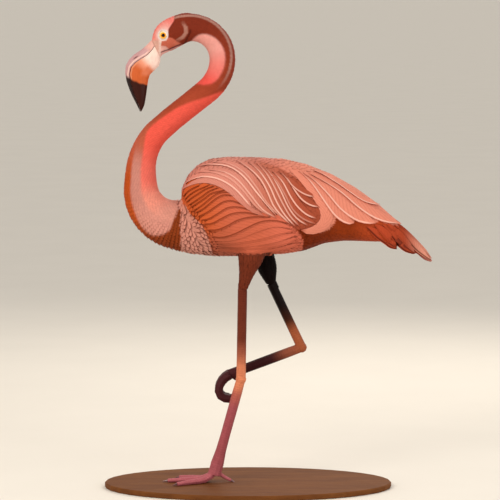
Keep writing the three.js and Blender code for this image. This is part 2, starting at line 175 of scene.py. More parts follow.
def faceTree(*meshes):  # to find the nearest faces, or the first that a ray meets
    points, faces = [], []
    for mesh in meshes:
        faces += [[i + len(points) for i in face.vertices] for face in mesh.polygons]
        points += [vert.co for vert in mesh.vertices]
    return BVHTree.FromPolygons(points, faces)


def pointTree(points):  # to find the nearest points
    tree = KDTree(len(points))
    for i, point in enumerate(points):
        tree.insert(point, i)
    tree.balance()
    return tree


def outerOnly(name, mesh):  # drops the bubbles a remesh leaves inside
    bm = bmesh.new()
    bm.from_mesh(mesh)
    unseen, largest = set(bm.verts), []
    while unseen:
        stack = [unseen.pop()]
        island = []
        while stack:
            vert = stack.pop()
            island.append(vert)
            near = {edge.other_vert(vert) for edge in vert.link_edges} & unseen
            unseen -= near
            stack.extend(near)
        largest = max(largest, island, key=len)
    kept = set(largest)
    bmesh.ops.delete(bm, geom=[vert for vert in bm.verts if vert not in kept], context="VERTS")
    bmesh.ops.recalc_face_normals(bm, faces=bm.faces)
    return meshOf(name, bm)


tintDepth = 0.90  # the studio light lifts every colour, so they are laid on a little deeper


def addColours(mesh, name, colours):
    if name == "tint":
        colours = np.c_[colours * tintDepth, np.ones(len(colours))]
    layer = mesh.color_attributes.new(name, "FLOAT_COLOR", "POINT")
    layer.data.foreach_set("color", colours.astype(np.float32).ravel())


def addTinted(name, mesh, points, colours, material, nodes):
    movePoints(mesh, points)
    addColours(mesh, "tint", colours)
    addPiece(name, mesh, material, nodes)


# shader maths
class Sock:  # one socket of a material, with arithmetic
    def __init__(self, tree, socket):
        self.tree, self.socket = tree, socket

    def math(self, operation, *values):
        node = self.tree.nodes.new("ShaderNodeMath")
        node.operation = operation
        for i, value in enumerate(values):
            if isinstance(value, Sock):
                self.tree.links.new(value.socket, node.inputs[i])
            else:
                node.inputs[i].default_value = value
        return Sock(self.tree, node.outputs[0])

    def __add__(self, other): return self.math("ADD", self, other)
    def __radd__(self, other): return self.math("ADD", other, self)
    def __sub__(self, other): return self.math("SUBTRACT", self, other)
    def __rsub__(self, other): return self.math("SUBTRACT", other, self)
    def __mul__(self, other): return self.math("MULTIPLY", self, other)
    def __rmul__(self, other): return self.math("MULTIPLY", other, self)
    def __pow__(self, other): return self.math("POWER", self, other)
    def __abs__(self): return self.math("ABSOLUTE", self)
    def wave(self): return self.math("SINE", self)


class Paint:  # a material being put together
    def __init__(self, name, **settings):
        self.material = bpy.data.materials.new(name)
        self.material.use_nodes = True
        self.tree = self.material.node_tree
        self.shader = self.tree.nodes["Principled BSDF"]
        self.set(self.shader, settings)

    def set(self, node, values):  # by the sockets' names, or _ and a number where names repeat
        for name, value in values.items():
            socket = node.inputs[int(name[1:])] if name[0] == "_" else node.inputs[name.replace("_", " ")]
            if isinstance(value, Sock):
                self.tree.links.new(value.socket, socket)
            else:
                socket.default_value = value

    def node(self, kind, settings=None, output=0, **values):  # any other node
        node = self.tree.nodes.new("ShaderNode" + kind)
        for name, value in (settings or {}).items():
            setattr(node, name, value)
        self.set(node, values)
        return Sock(self.tree, node.outputs[output])

    def blend(self, share, first, second, mode="MIX"):  # two colours
        colours = [value if isinstance(value, Sock) else rgba(value) for value in (first, second)]
        settings = {"data_type": "RGBA", "blend_type": mode}
        return self.node("Mix", settings, 2, _0=share, _6=colours[0], _7=colours[1])

    def shaded(self, share, colour, tint, code):  # a colour moved towards its tint multiplied by another
        return self.blend(share, colour, self.blend(1.0, tint, code, "MULTIPLY"))

    def between(self, value, low, high):  # 0 at low, 1 at high, smooth
        settings = {"interpolation_type": "SMOOTHSTEP"}
        return self.node("MapRange", settings, Value=value, From_Min=low, From_Max=high)

    def parts(self, vector):  # its x, y and z
        node = self.node("SeparateXYZ", Vector=vector).socket.node
        return [Sock(self.tree, out) for out in node.outputs]

    def attribute(self, name, output=0):
        return self.node("Attribute", {"attribute_name": name}, output)

    def noise(self, vector, scale, detail=3.0, rough=0.5):
        return self.node("TexNoise", Vector=vector, Scale=scale, Detail=detail, Roughness=rough)

    def place(self):  # where a point is on its piece
        return self.node("TexCoord", output=3)

    def bump(self, height, strength, distance):
        return self.node("Bump", Height=height, Strength=strength, Distance=distance)

    def stretched(self, vector, scale):
        return self.node("Mapping", Vector=vector, Scale=scale)

    def done(self, **links):
        self.set(self.shader, links)
        return self.material


# the camera, the floor and the lights
cameraKit = dict(lens=200.0, sensor=36.0, view=1.275, aim=(0.005, 0.0, 0.611), rise=5.5)
away = cameraKit["view"] * cameraKit["lens"] / cameraKit["sensor"]
rise = math.radians(cameraKit["rise"])
camera = placed("camera", bpy.data.cameras.new("camera"))
camera.data.lens = cameraKit["lens"]
camera.data.sensor_width = cameraKit["sensor"]
camera.location = Vector(cameraKit["aim"]) + away * Vector((0, -math.cos(rise), math.sin(rise)))
camera.rotation_euler = (math.pi / 2 - rise, 0, 0)
bpy.context.scene.camera = camera

studioKit = dict(
    floor=("e0dbd2", "e6e1d8"), floorSize=260.0, sky="f4efe8", skyStrength=0.80, aim=(0.02, 0.0, 0.6),
    lights=dict(
        keyLight=dict(place=(-1.9, -2.6, 2.6), size=(1.8, 1.8), power=75, colour="fff6ea"),
        fillLight=dict(place=(2.4, -2.2, 1.5), size=(2.2, 2.2), power=30, colour="ffffff"),
        backLight=dict(place=(0.8, 2.6, 2.3), size=(1.8, 1.4), power=40, colour="fff4e6"),
    ),
)
floorMesh = bmesh.new()
bmesh.ops.create_grid(floorMesh, x_segments=2, y_segments=2, size=studioKit["floorSize"])
floorObject = placed("floor", meshOf("floor", floorMesh))
floorPaint = Paint("paleFloor", Roughness=0.85)
floorGrain = floorPaint.noise(floorPaint.place(), 3.0)
floorObject.data.materials.append(floorPaint.done(Base_Color=floorPaint.blend(floorGrain, *studioKit["floor"])))

world = bpy.data.worlds.new("studio")
world.use_nodes = True
sky = world.node_tree.nodes["Background"].inputs
sky["Color"].default_value = rgba(studioKit["sky"])
sky["Strength"].default_value = studioKit["skyStrength"]
bpy.context.scene.world = world
bpy.context.scene.view_settings.view_transform = "Standard"  # keeps the plumage's clear reds


def softbox(name, place, size, power, colour):
    lamp = placed(name, bpy.data.lights.new(name, "AREA"))
    lamp.data.shape = "RECTANGLE"
    lamp.data.size, lamp.data.size_y = size
    lamp.data.energy = power
    lamp.data.color = linear(colour)
    lamp.location = place
    lamp.rotation_euler = (Vector(studioKit["aim"]) - Vector(place)).to_track_quat("-Z", "Y").to_euler()


for name, kit in studioKit["lights"].items():
    softbox(name, **kit)
print("camera, floor and lights are in place")

# the bird's own lines, as its solids have them
neckKit = dict(
    start=(-0.2325, 1.111), heading=74,  # from the bill's root
    bends=[(0.0902, -72), (0.0215, -2), (0.1257, -90), (0.0928, -51.6), (0.139, 0), (0.1453, 51.6),
           (0.0288, 0), (0.1438, 82), (0.12, 0)],
    depth=[(0, 0.024), (0.03, 0.036), (0.0902, 0.037), (0.1502, 0.0345), (0.2702, 0.0335), (0.3902, 0.032),
           (0.5102, 0.0335), (0.6102, 0.040), (0.6902, 0.050), (0.7942, 0.066), (0.86, 0.070)],
    step=0.002, length=0.81,
)


def traceNeck():  # places, headings and lengths down the neck's middle
    x, z = neckKit["start"]
    z += baseTop
    heading = math.radians(neckKit["heading"])
    places, headings, lengths, done = [], [], [], 0.0
    for length, turn in neckKit["bends"]:
        count = max(2, round(length / neckKit["step"]))
        part, bend = length / count, math.radians(turn) / count
        for _ in range(count):
            places.append((x, z))
            headings.append(heading)
            lengths.append(done)
            x += part * math.cos(heading + bend / 2)
            z += part * math.sin(heading + bend / 2)
            heading += bend
            done += part
    return np.array(places), np.array(headings), np.array(lengths)


neckPlaces, neckHeadings, neckLengths = traceNeck()
neckDepth = smoothCurve(neckKit["depth"])


def neckPlace(points):  # length down the neck, and height towards its back as a share of its depth
    nearest = np.empty(len(points), int)
    for first in range(0, len(points), 5000):
        offset = points[first:first + 5000, None, [0, 2]] - neckPlaces[None]
        nearest[first:first + 5000] = np.argmin((offset ** 2).sum(-1), axis=1)
    heading = neckHeadings[nearest]
    dx, dz = (points[:, [0, 2]] - neckPlaces[nearest]).T
    length = neckLengths[nearest]
    up = -dx * np.sin(heading) + dz * np.cos(heading)
    return length, up / neckDepth(length)


neckEnd = dict(above=0.866, before=-0.190, wall=-0.171, below=0.742, climb=0.715)  # at the breast


def onNeck(points):  # the neck and head, and not the breast
    x, z = points[:, 0], points[:, 2]
    return (z > neckEnd["above"]) | (x < neckEnd["before"]) | ((x < neckEnd["wall"]) & (z < neckEnd["below"]))


# the skin
flesh = ["trunk", "head", "thigh_left", "thigh_right", "wing_left", "wing_right"] + [
    "neck_" + part for part in ("nape", "crook", "turn", "slope", "middle", "low", "base")]
skinKit = dict(
    voxel=0.0032, rounds=10, collar=0.0065,
    depth=dict(head=0.0012, neck=0.0028, body=0.0050, rear=0.0020, thigh=0.0022),
)
billRoot = [(-0.243, 1.133 + baseTop), (-0.222, 1.089 + baseTop)]  # where the head's feathers stop


def fleshWithCollar():  # the flesh, and a short plug inside the bill that closes the seam at its root
    bm = copyOf(["bill_upper", "bill_lower"])
    (ax, az), (bx, bz) = billRoot
    forward = Vector((bz - az, 0, ax - bx)).normalized()
    bmesh.ops.bisect_plane(bm, geom=bm.verts[:] + bm.edges[:] + bm.faces[:], clear_outer=True,
                           plane_co=Vector((ax, 0, az)) + forward * skinKit["collar"], plane_no=forward)
    bmesh.ops.holes_fill(bm, edges=bm.edges)
    for node in flesh:
        bm.from_mesh(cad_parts[node].data)
    return bm


outer = evenShell("skin", fleshWithCollar(), skinKit["voxel"], skinKit["rounds"])
outerPoints = pointsOf(outer)
outerTree = faceTree(outer)
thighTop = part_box("trunk")[0].z
print("skin surface of", len(outer.polygons), "faces")


def onSurface(point):  # the nearest place on the coat's outer surface, and which way is out
    place, normal, _, _ = outerTree.find_nearest(point)
    return place, normal


lookDown = 0.094  # the lines and markings are laid on as seen from a little above


def fromSide(x, z, side, tree=None):  # a place on the outer surface, seen from the side
    tree = tree or outerTree
    eye, way = Vector((x, side * 0.5, z + 0.5 * lookDown)), Vector((0, -side, -lookDown))
    place, normal, _, _ = tree.ray_cast(eye, way)
    return (place, normal) if place else tree.find_nearest(Vector((x, side * 0.02, z)))[:2]


def asSeen(points):  # the same places, brought to the middle plane along that view
    return points - np.abs(points[:, 1:2]) * (0, 0, lookDown)


# the markings, with painted shade and highlights, shared by skin and coat
eyeLow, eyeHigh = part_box("eye_left")
eyeX, eyeY, eyeZ = (eyeLow + eyeHigh) / 2
eyeSeen = eyeZ - lookDown * abs(eyeY)
neckMarks = dict(  # how high the colours' edges lie, down the neck
    pinkBelow=[(0.1, -1.3), (0.125, -0.8), (0.145, -0.4), (0.175, -0.08), (0.21, 0.14), (0.245, 0.2),
               (0.275, 0.12), (0.3, 0), (0.32, -0.3), (0.335, -0.7), (0.35, -1.3)],
    redAbove=[(0.29, 1.3), (0.32, 0.62), (0.35, 0.3), (0.384, -0.12), (0.415, -0.38), (0.44, -0.46),
              (0.476, -0.53), (0.508, -0.56), (0.54, -0.2), (0.57, 0), (0.63, 0.06)],
    brownBelow=[(0.5, -1.3), (0.53, -0.95), (0.56, -0.66), (0.6, -0.56), (0.67, -0.57), (0.7, -0.64),
                (0.73, -0.76), (0.75, -0.74), (0.76, -0.62), (0.77, -0.46), (0.779, -0.2), (0.787, 0.3),
                (0.795, 0.8), (0.8, 1.4)],
    napeLine=[(0.05, 0.5), (0.08, 0.7), (0.12, 0.78), (0.16, 0.77), (0.2, 0.72), (0.24, 0.67), (0.28, 0.58),
              (0.31, 0.5)],
)
neckEdges = {name: smoothCurve(pairs) for name, pairs in neckMarks.items()}


def besideLine(x, z, points):  # how far a place lies left of a line, and how far down the line it is
    best, left, along = np.full(x.shape, np.inf), np.zeros(x.shape), np.zeros(x.shape)
    points = np.array(points, float)
    for i, ((ax, az), (bx, bz)) in enumerate(zip(points[:-1], points[1:])):
        dx, dz = bx - ax, bz - az
        size = math.hypot(dx, dz)
        t = np.clip(((x - ax) * dx + (z - az) * dz) / size ** 2, 0, 1)
        off = np.hypot(x - ax - t * dx, z - az - t * dz)
        turn = (dx * (z - az) - dz * (x - ax)) / size
        near = off < best
        best = np.where(near, off, best)
        left = np.where(near, np.sign(turn) * off, left)
        along = np.where(near, (i + t) / (len(points) - 1), along)
    return left, along


headMarks = dict(  # in millimetres behind and above the eye
    back=[(29, 60), (27, 36), (19, 24), (13, 14), (12, -7), (8, -14), (-4, -15), (-7, -30), (-7, -60)],
    cheek=[(-12, -14), (14, -6), (24, -8), (36, -17), (50, -23), (62, -22), (80, -20)],
    chin=[(-10, -27), (-4, -27), (6, -28), (16, -36), (24, -44)],
    crescent=[(50, 31), (57, 19), (58, 6), (49, -6), (36, -14)],
    crease=[(69, 12), (66, 2), (58, -12), (55, -20)],
    jaw=[(56, -17), (40, -24), (26, -30), (10, -37), (-6, -43)],
)


def headColours(points, colours, length):
    x, z = (points[:, 0] - eyeX) * 1000, (points[:, 2] - eyeSeen) * 1000
    back, cheek, chin, crescent, crease, jaw = (besideLine(x, z, line)[0] for line in headMarks.values())
    streak = np.maximum(ease(34, 20, z) * ease(-18, -6, z), 0.25)
    edge = ease(5, 0.5, np.abs(back)) * ease(0.5, 2.5, back) * ease(-10, 4, z)
    colours = layered(
        colours,
        ("d9725a", ease(-1.5, 1.5, -cheek) * ease(95, 70, x)),
        ("e08a72", spot(x, 34, 14) * spot(z, -22, 7) * 0.5),
        ("f6bdb2", ease(-2, 2, -chin) * ease(20, 12, x)),
        # a painted highlight: the pale crescent on the cheek behind the eye
        ("bd8575", ease(5.2, 3.2, np.abs(crescent)) * streak),
        # painted shade along the crease behind the cheek
        ("4a1a10", ease(3.4, 0.6, np.abs(crease)) * 0.8),
        ("f0b4b0", ease(-0.5, 1.0, jaw) * ease(44, 36, x) * 0.7),
        ("5a2a2e", ease(2.2, 0.8, np.abs(jaw)) * ease(52, 42, x) * 0.85),
        ("5c2216", edge * 0.75),
    )
    frontal = layered(
        graded(np.hypot(x - 6, z - 16), "ff8b80", ("ffb0a6", 26, 4)),
        ("ff7a72", ease(34, 46, z) * ease(8, -20, x)),
        ("ffd0c8", ease(26, 12, np.hypot(x, z)) * 0.9),
        ("e3b0a0", ease(-6, -16, z) * ease(-4, -14, x)),
        ("fde4d8", ease(-8, -18, z) * ease(-14, -7, x)),
        ("fdf2ef", ease(15.5, 13.0, np.hypot(x, z))),
    )
    return mixed(colours, frontal, ease(-1.5, 1.5, -back) * ease(0.10, 0.07, length))


def neckColours(points):
    length, up = neckPlace(points)
    soft = 0.10  # how far one colour runs into the next, as a share of the depth
    # the brown band, and the rust one low on the neck, follow the outer side of the neck's bends and cross
    # sides down the S: painted shade; the pinks and reds are the neck's own colours
    brown = graded(length, "8a3420", ("a8452c", 0.14, 0.28), ("b84f34", 0.26, 0.40), ("c9654a", 0.42, 0.54))
    brown = tinted(brown, "9c3b2a", ease(0.6, 0.95, up) * ease(0.33, 0.2, length))
    line = ease(0.12, 0.05, np.abs(up - neckEdges["napeLine"](length))) * ease(0.045, 0.07, length)
    brown = tinted(brown, "c58f80", line * ease(0.32, 0.25, length))
    rosy = graded(length, "ffb2a8", ("ff8a80", 0.20, 0.27), ("ff6258", 0.26, 0.32))
    red = graded(length, "fc6453", ("fb7a6a", 0.52, 0.62), ("fb9f8a", 0.62, 0.69), ("eea593", 0.69, 0.76))
    grey = graded(length, "c66e58", ("d69082", 0.54, 0.60), ("e79e8e", 0.66, 0.74))
    rust = graded(length, "d0644a", ("c9561f", 0.54, 0.63), ("96411a", 0.69, 0.77))
    inner = ease(-soft, soft, neckEdges["pinkBelow"](length) - up) * (length > 0.09) * (length < 0.36)
    outside = ease(-soft, soft, up - neckEdges["redAbove"](length)) * (length > 0.285)
    under = ease(-soft * 0.7, soft * 0.7, neckEdges["brownBelow"](length) - up) * (length > 0.5)
    colours = mixed(mixed(brown, rosy, inner), grey, ease(0.53, 0.57, length))
    colours = mixed(mixed(colours, red, outside), rust, under)
    near = length < 0.135
    if near.any():
        colours[near] = headColours(points[near], colours[near], length[near])
    return colours


bodyMarks = dict(  # in millimetres: heights by place, but places by height for breastEdge and covertEnd
    covertTop=[(-176, 742), (-153, 755), (-120, 765), (-84, 762), (-58, 750), (-20, 714), (23, 686),
               (87, 674), (125, 655), (142, 630)],
    breastEdge=[(575, -88), (617, -97), (643, -107), (666, -122), (686, -143), (728, -176)],
    covertEnd=[(585, 124), (592, 133), (604, 139), (620, 139), (637.5, 131), (648, 120), (660, 104)],
    lobes=[(140, 648), (153, 643), (171, 641), (189, 643), (204, 650), (214, 660), (224, 677), (232, 673),
           (242, 667), (255, 664), (265, 667), (271, 679), (286, 672), (301, 666), (316, 664), (326, 667),
           (331, 674), (355, 663), (400, 655)],
)
bodyEdges = {name: smoothCurve(np.array(pairs) / 1000) for name, pairs in bodyMarks.items()}
chestTop = 0.735
mantleEnd = [(18, 826), (36, 821), (56, 812), (82, 803), (107, 788), (133, 770), (151, 752), (166, 734),
             (179, 714), (183, 694), (182, 676), (173, 660), (156, 653), (140, 648)]


def onChest(x, z):  # z is above the base
    return (z < chestTop) & (x < bodyEdges["breastEdge"](z))


def bodyColours(points):
    x, z = points[:, 0], points[:, 2] - baseTop
    outside, _ = besideLine(x, z, np.array(mantleEnd) / 1000)
    mantle = graded(x, "de8f7e", ("c87059", -0.04, 0.06), ("b2543a", 0.05, 0.13))
    back = graded(x, "db8170", ("eb9078", 0.02, 0.12))
    back = tinted(back, "d88676", ease(0.812, 0.836, z) * ease(0.06, 0.0, x))
    back = mixed(mantle, back, ease(-0.001, 0.003, outside))
    rear = graded(x, "802c08", ("983a12", 0.16, 0.25), ("be4c26", 0.25, 0.33))
    covert = layered(graded(x, "d26030", ("d46b4e", -0.12, -0.02)),
                     ("ba6046", ease(0.66, 0.60, z) * ease(0.0, -0.06, x)), ("e2755b", ease(0.02, 0.10, x)))
    breast = graded(z, "e29886", ("dc9888", 0.66, 0.60))
    lower = z < bodyEdges["covertTop"](x)
    colours = np.where((lower & (x < bodyEdges["covertEnd"](z)))[:, None], covert, back)
    under = (x > bodyEdges["covertEnd"](z)) & (z < bodyEdges["lobes"](x)) & (x > 0.10)
    colours = np.where(under[:, None], rear, colours)
    return np.where(onChest(x, z)[:, None], breast, colours)


thighKit = dict(
    below=0.002, above=0.012,  # where its feathers end, from the trunk's underside
    left=(0.015, 0.044, -0.040, 0.039), right=(0.034, 0.038, 0.042, 0.034),  # middle and half width, x then y
)


def onThigh(points):
    x, y, z = points.T
    left, right = (np.hypot((x - middleX) / halfX, (y - middleY) / halfY)
                   for middleX, halfX, middleY, halfY in (thighKit["left"], thighKit["right"]))
    lap = (z < thighTop + thighKit["above"]) & (np.minimum(left, right) < 1)
    return (z < thighTop - thighKit["below"]) | lap


def thighColours(points):  # the near thigh is brown and the far one almost black, both painted shade, deeper on the far thigh
    brown = graded(points[:, 2], "7a3520", ("74301e", 0.56, 0.50))
    dark = graded(points[:, 2], "0e0403", ("140504", 0.56, 0.50))
    return np.where((points[:, 1] < 0)[:, None], brown, dark)


def plumageColours(points):
    points = np.asarray(points, float)
    seen = asSeen(points)
    colours = bodyColours(seen)
    neck = onNeck(points)
    if neck.any():
        colours[neck] = neckColours(seen[neck])
    thigh = onThigh(points)
    if thigh.any():
        colours[thigh] = thighColours(points[thigh])
    return colours


def behindBill(points, length):  # how far behind the line where the head's feathers stop
    behind, _ = besideLine(points[:, 0], points[:, 2], billRoot)
    return np.where(length < 0.2, behind, 1.0)


def coatDepth(points):  # how far the skin lies under the coat's outer surface
    depth = skinKit["depth"]
    length, _ = neckPlace(points)
    neck = depth["head"] + (depth["neck"] - depth["head"]) * ease(0.06, 0.13, length)
    neck = neck + (depth["body"] - neck) * ease(0.66, 0.78, length)
    body = depth["body"] + (depth["rear"] - depth["body"]) * ease(0.10, 0.24, points[:, 0])
    body = np.where(onThigh(points), depth["thigh"], body)
    behind = behindBill(points, length)
    tuck = 0.0034 * ease(0.0004, -0.0045, behind) - 0.0002 * (behind > 0)  # under the bill's root
    neck = neck * ease(0.0, 0.010, behind) + tuck
    return np.where(onNeck(points), neck, body)


def plumagePaint():
    paint = Paint("plumage", Specular_IOR_Level=0.06)
    tint = paint.attribute("tint")
    edge, stem, reach = paint.parts(paint.attribute("finish"))  # reach is centimetres from the shaft, and edge the share of painted shade along the rim and tip
    line = paint.attribute("finish", 3)  # dark line along the shaft, painted shade for the dark lines between overlapping feathers
    across, along, _ = paint.parts(paint.node("UVMap", {"uv_map": "vane"}))
    off = abs(across - 0.5) * 2
    luck = paint.noise(paint.node("UVMap", {"uv_map": "OFBake"}), 90.0, 0.0)
    barbs = (along * 90 + off * 16 + luck * 40).wave()
    fine = paint.noise(paint.stretched(paint.node("UVMap", {"uv_map": "vane"}), (9.0, 2.0, 1.0)), 6.0)
    colour = paint.shaded(fine * 0.30, tint, tint, "9c8a86")
    colour = paint.shaded(paint.between(barbs, 0.2, 1.0) * 0.22, colour, tint, "b8a49c")
    # painted shade along each feather's rim and tip, where it lies against the next
    rim = paint.between(off, 0.62, 0.93) * paint.between(along, 0.12, 0.4)
    tip = paint.between(along, 0.86, 0.98)
    dark = rim.math("MAXIMUM", rim, tip) * edge
    colour = paint.shaded(dark, colour, tint, "8c645a")
    # painted shade: the dark line down the shaft
    line = paint.between(reach, 0.26, 0.08) * line * paint.between(along, 0.0, 0.06)
    colour = paint.shaded(line, colour, tint, "a8988a")
    stem = paint.between(reach, 0.25, 0.10) * stem * paint.between(along, 0.0, 0.3)
    stem = stem * paint.between(along, 1.0, 0.88)
    colour = paint.blend(stem, colour, "eab4a4")
    bump = paint.bump(barbs * 0.5 + stem - line, 0.25, 0.0006)
    return paint.done(Base_Color=colour, Roughness=0.55 + fine * 0.2, Normal=bump)


def skinPaint():
    paint = Paint("skinAndDown", Specular_IOR_Level=0.15)
    place = paint.place()
    tint = paint.attribute("tint")
    grain = paint.noise(place, 260.0, 4.0)
    colour = paint.shaded(grain * 0.5, tint, tint, "8a7470")
    return paint.done(Base_Color=colour, Roughness=0.6 + grain * 0.25,
                      Normal=paint.bump(grain, 0.4, 0.0008))


plumage, skinFinish = plumagePaint(), skinPaint()
skinPoints = outerPoints - pointsOf(outer, field="normal") * coatDepth(outerPoints)[:, None]
addTinted("skin", outer.copy(), skinPoints, plumageColours(outerPoints), skinFinish, flesh)
print("skin is on")

# feathers
vaneShapes = dict(  # half width along the feather, from 0 to 1
    small=smoothCurve([(0, 0.45), (0.3, 0.85), (0.6, 1.0), (0.85, 0.78), (0.96, 0.4), (1, 0.1)]),
    plume=smoothCurve([(0, 0.2), (0.15, 0.75), (0.45, 1.0), (0.75, 0.95), (0.93, 0.5), (1, 0.05)]),
    lobe=smoothCurve([(0, 0.6), (0.2, 0.9), (0.5, 1.0), (0.86, 0.95), (0.96, 0.6), (1, 0.1)]),
    blade=smoothCurve([(0, 0.25), (0.2, 0.8), (0.5, 1.0), (0.80, 0.90), (0.93, 0.55), (1, 0.06)]),
)


def unwrapped(points):  # where a feather's root lies on the skin's own unwrap
    length, up = neckPlace(points)
    x, y, z = points.T
    neckAround = np.arctan2(y, up * neckDepth(length)) / (2 * math.pi)
    bodyAround = np.arctan2(y, z - baseTop - 0.70) / (2 * math.pi)
    thighAround = np.arctan2(y - np.sign(y) * 0.04, x - 0.01) / (2 * math.pi)
    flat = np.stack([0.20 + 0.34 * neckAround, 0.04 + 1.14 * np.minimum(length, 0.80)], -1)
    body = np.stack([0.62 + 0.40 * bodyAround, 0.06 + 1.32 * np.clip(x + 0.19, 0, 0.68)], -1)
    thigh = np.stack([0.91 + 0.03 * np.sign(y) + 0.05 * thighAround, 0.1 + 4 * np.clip(z - 0.45, 0, 0.2)], -1)
    return np.where(onThigh(points)[:, None], thigh, np.where(onNeck(points)[:, None], flat, body))


coatKit = dict(
    patch=0.003,  # each feather's patch on the unwrap
    sink=0.85,  # how far its root goes down through the coat
    droop=0.04,  # how far the edges of wide vanes bend down
    middleGap=0.0006,  # how far the wings' feathers stay from the middle plane
)


def layRows(starts, directions, length, steps):  # each feather's shaft, walked over the surface
    shafts = np.empty((len(starts), steps + 1, 3))
    normals = np.empty_like(shafts)
    for i, (start, direction, size) in enumerate(zip(starts, directions, length)):
        place, out = onSurface(Vector(start))
        heading = Vector(direction)
        shafts[i, 0], normals[i, 0] = place, out
        for step in range(1, steps + 1):
            heading = (heading - heading.dot(out) * out).normalized()
            onward, out = onSurface(place + heading * (size / steps))
            heading = (onward - place).normalized() if (onward - place).length > 1e-6 else heading
            place = onward
            shafts[i, step], normals[i, step] = place, out
    return shafts, normals


def spread(shafts, normals, width, low, high, shape, columns,
           edge=0.0, stem=0.0, line=0.0, hug=None, droop=0.16, tilt=0.0):  # vanes on both sides of the shafts
    count, rows, _ = shafts.shape
    along = np.linspace(0, 1, rows)
    across = np.linspace(-1, 1, columns)
    onward = unit(np.gradient(shafts, axis=1))
    normals = unit(normals)
    sideways = unit(np.cross(normals, onward))
    widths = width if isinstance(width, tuple) else (width, width)
    left, right = (np.reshape(side, (count, -1, 1)) for side in widths)
    reach = np.where(across < 0, left, right) * across * vaneShapes[shape](along)[None, :, None]
    points = shafts[:, :, None] + sideways[:, :, None] * reach[..., None]
    outward = np.broadcast_to(normals[:, :, None], points.shape).copy()
    if hug:  # wide vanes follow the surface across their width too
        flat, flatOut = points.reshape(-1, 3), outward.reshape(-1, 3)
        for i, place in enumerate(flat):
            flat[i], flatOut[i] = hug.find_nearest(Vector(place))[:2]
    points -= outward * (np.abs(reach * across) * droop)[..., None]
    low, high = (np.broadcast_to(np.asarray(value, float).reshape(-1, 1), (count, 1)) for value in (low, high))
    height = (low + (high - low) * along)[:, :, None] + np.reshape(tilt, (-1, 1, 1)) * across
    points = points + outward * height[..., None]
    # edge is the painted shade along each vane's rim and tip, stem the pale shaft, and line the painted shade
    # along the shaft
    marks = [np.broadcast_to(np.reshape(value, (-1, 1, 1)), reach.shape) for value in (edge, stem, line)]
    finish = np.stack([marks[0], marks[1], np.abs(reach) * 100, marks[2]], -1)
    return dict(points=points, roots=shafts[:, 0], finish=finish)


def joinFeathers(name, lays):  # all of one tract as one mesh
    points, quads, tints, finishes, vanes, bakes, first = [], [], [], [], [], [], 0
    for lay in lays:
        count, rows, columns, _ = lay["points"].shape
        block = np.arange(count * rows * columns).reshape(count, rows, columns) + first
        first += block.size
        corners = [block[:, :-1, :-1], block[:, 1:, :-1], block[:, 1:, 1:], block[:, :-1, 1:]]
        quads.append(np.stack(corners, -1).reshape(-1, 4))
        points.append(lay["points"].reshape(-1, 3))
        shape = (count, rows, columns)
        tints.append(lay["tints"].reshape(-1, 3))
        finishes.append(lay["finish"].reshape(-1, 4))
        across = np.broadcast_to(np.linspace(0, 1, columns), shape)
        along = np.broadcast_to(np.linspace(0, 1, rows)[:, None], shape)
        vane = np.stack([across, along], -1)
        vanes.append(vane.reshape(-1, 2))
        bakes.append((unwrapped(lay["roots"])[:, None, None] + (vane - 0.5) * coatKit["patch"]).reshape(-1, 2))
    points, quads = np.concatenate(points), np.concatenate(quads)
    mesh = bpy.data.meshes.new(name)
    mesh.vertices.add(len(points))
    movePoints(mesh, points)
    mesh.loops.add(quads.size)
    mesh.loops.foreach_set("vertex_index", quads.ravel().astype(np.int32))
    mesh.polygons.add(len(quads))
    mesh.polygons.foreach_set("loop_start", np.arange(0, quads.size, 4, dtype=np.int32))
    mesh.update(calc_edges=True)
    for layer, values in (("vane", vanes), ("OFBake", bakes)):
        flat = np.concatenate(values)[quads.ravel()]
        mesh.uv_layers.new(name=layer).data.foreach_set("uv", flat.astype(np.float32).ravel())
    addColours(mesh, "tint", np.clip(np.concatenate(tints), 0, 1))
    # finish carries the painted shade on rims and shafts, the pale shafts and the reach from the shaft
    addColours(mesh, "finish", np.concatenate(finishes))
    print(name, "has", len(quads) * 2, "triangles")
    addPiece(name, mesh, plumage)


def coloured(lay, colours, luck):  # each feather a little lighter or darker than the next
    shades = 1 + luck * (dice.random((len(colours), 1, 1, 1)) - 0.5)
    return dict(lay, tints=np.clip(colours * shades, 0, 1))


def coloursOver(places):
    return plumageColours(places.reshape(-1, 3)).reshape(places.shape)


def smallLay(kit, starts, directions, length, half, **look):  # feathers that grow out of the coat
    shafts, normals = layRows(starts, directions, length, kit["steps"])
    low = -coatDepth(starts) * coatKit["sink"]
    lay = spread(shafts, normals, half, low, kit["high"], "small", kit["columns"], **look)
    return coloured(lay, coloursOver(lay["points"]), kit["luck"])


# the head's and neck's short feathers, in rows down the neck
neckCoat = dict(
    spacing=[(0.004, 0.0024), (0.08, 0.0032), (0.16, 0.0048), (0.45, 0.0056), (0.80, 0.0080)],
    length=[(0, 0.0055), (0.08, 0.0085), (0.16, 0.013), (0.45, 0.017), (0.66, 0.022), (0.80, 0.013)],
    half=[(0, 0.0015), (0.08, 0.0021), (0.16, 0.0033), (0.45, 0.0040), (0.80, 0.0065)],
    first=0.004, throat=0.30, bareEye=0.0128, behindBill=0.0008,
    # edge is the painted shade along each feather's edges
    steps=3, columns=3, high=0.0002, edge=0.18, luck=0.10,
    apart=1.35, girth=0.95, fewest=12,  # apart is in half widths, and girth a share of the full round
    outside=1.6, farthest=1.45,  # in depths of the neck, where a ray starts and where a root may be
)


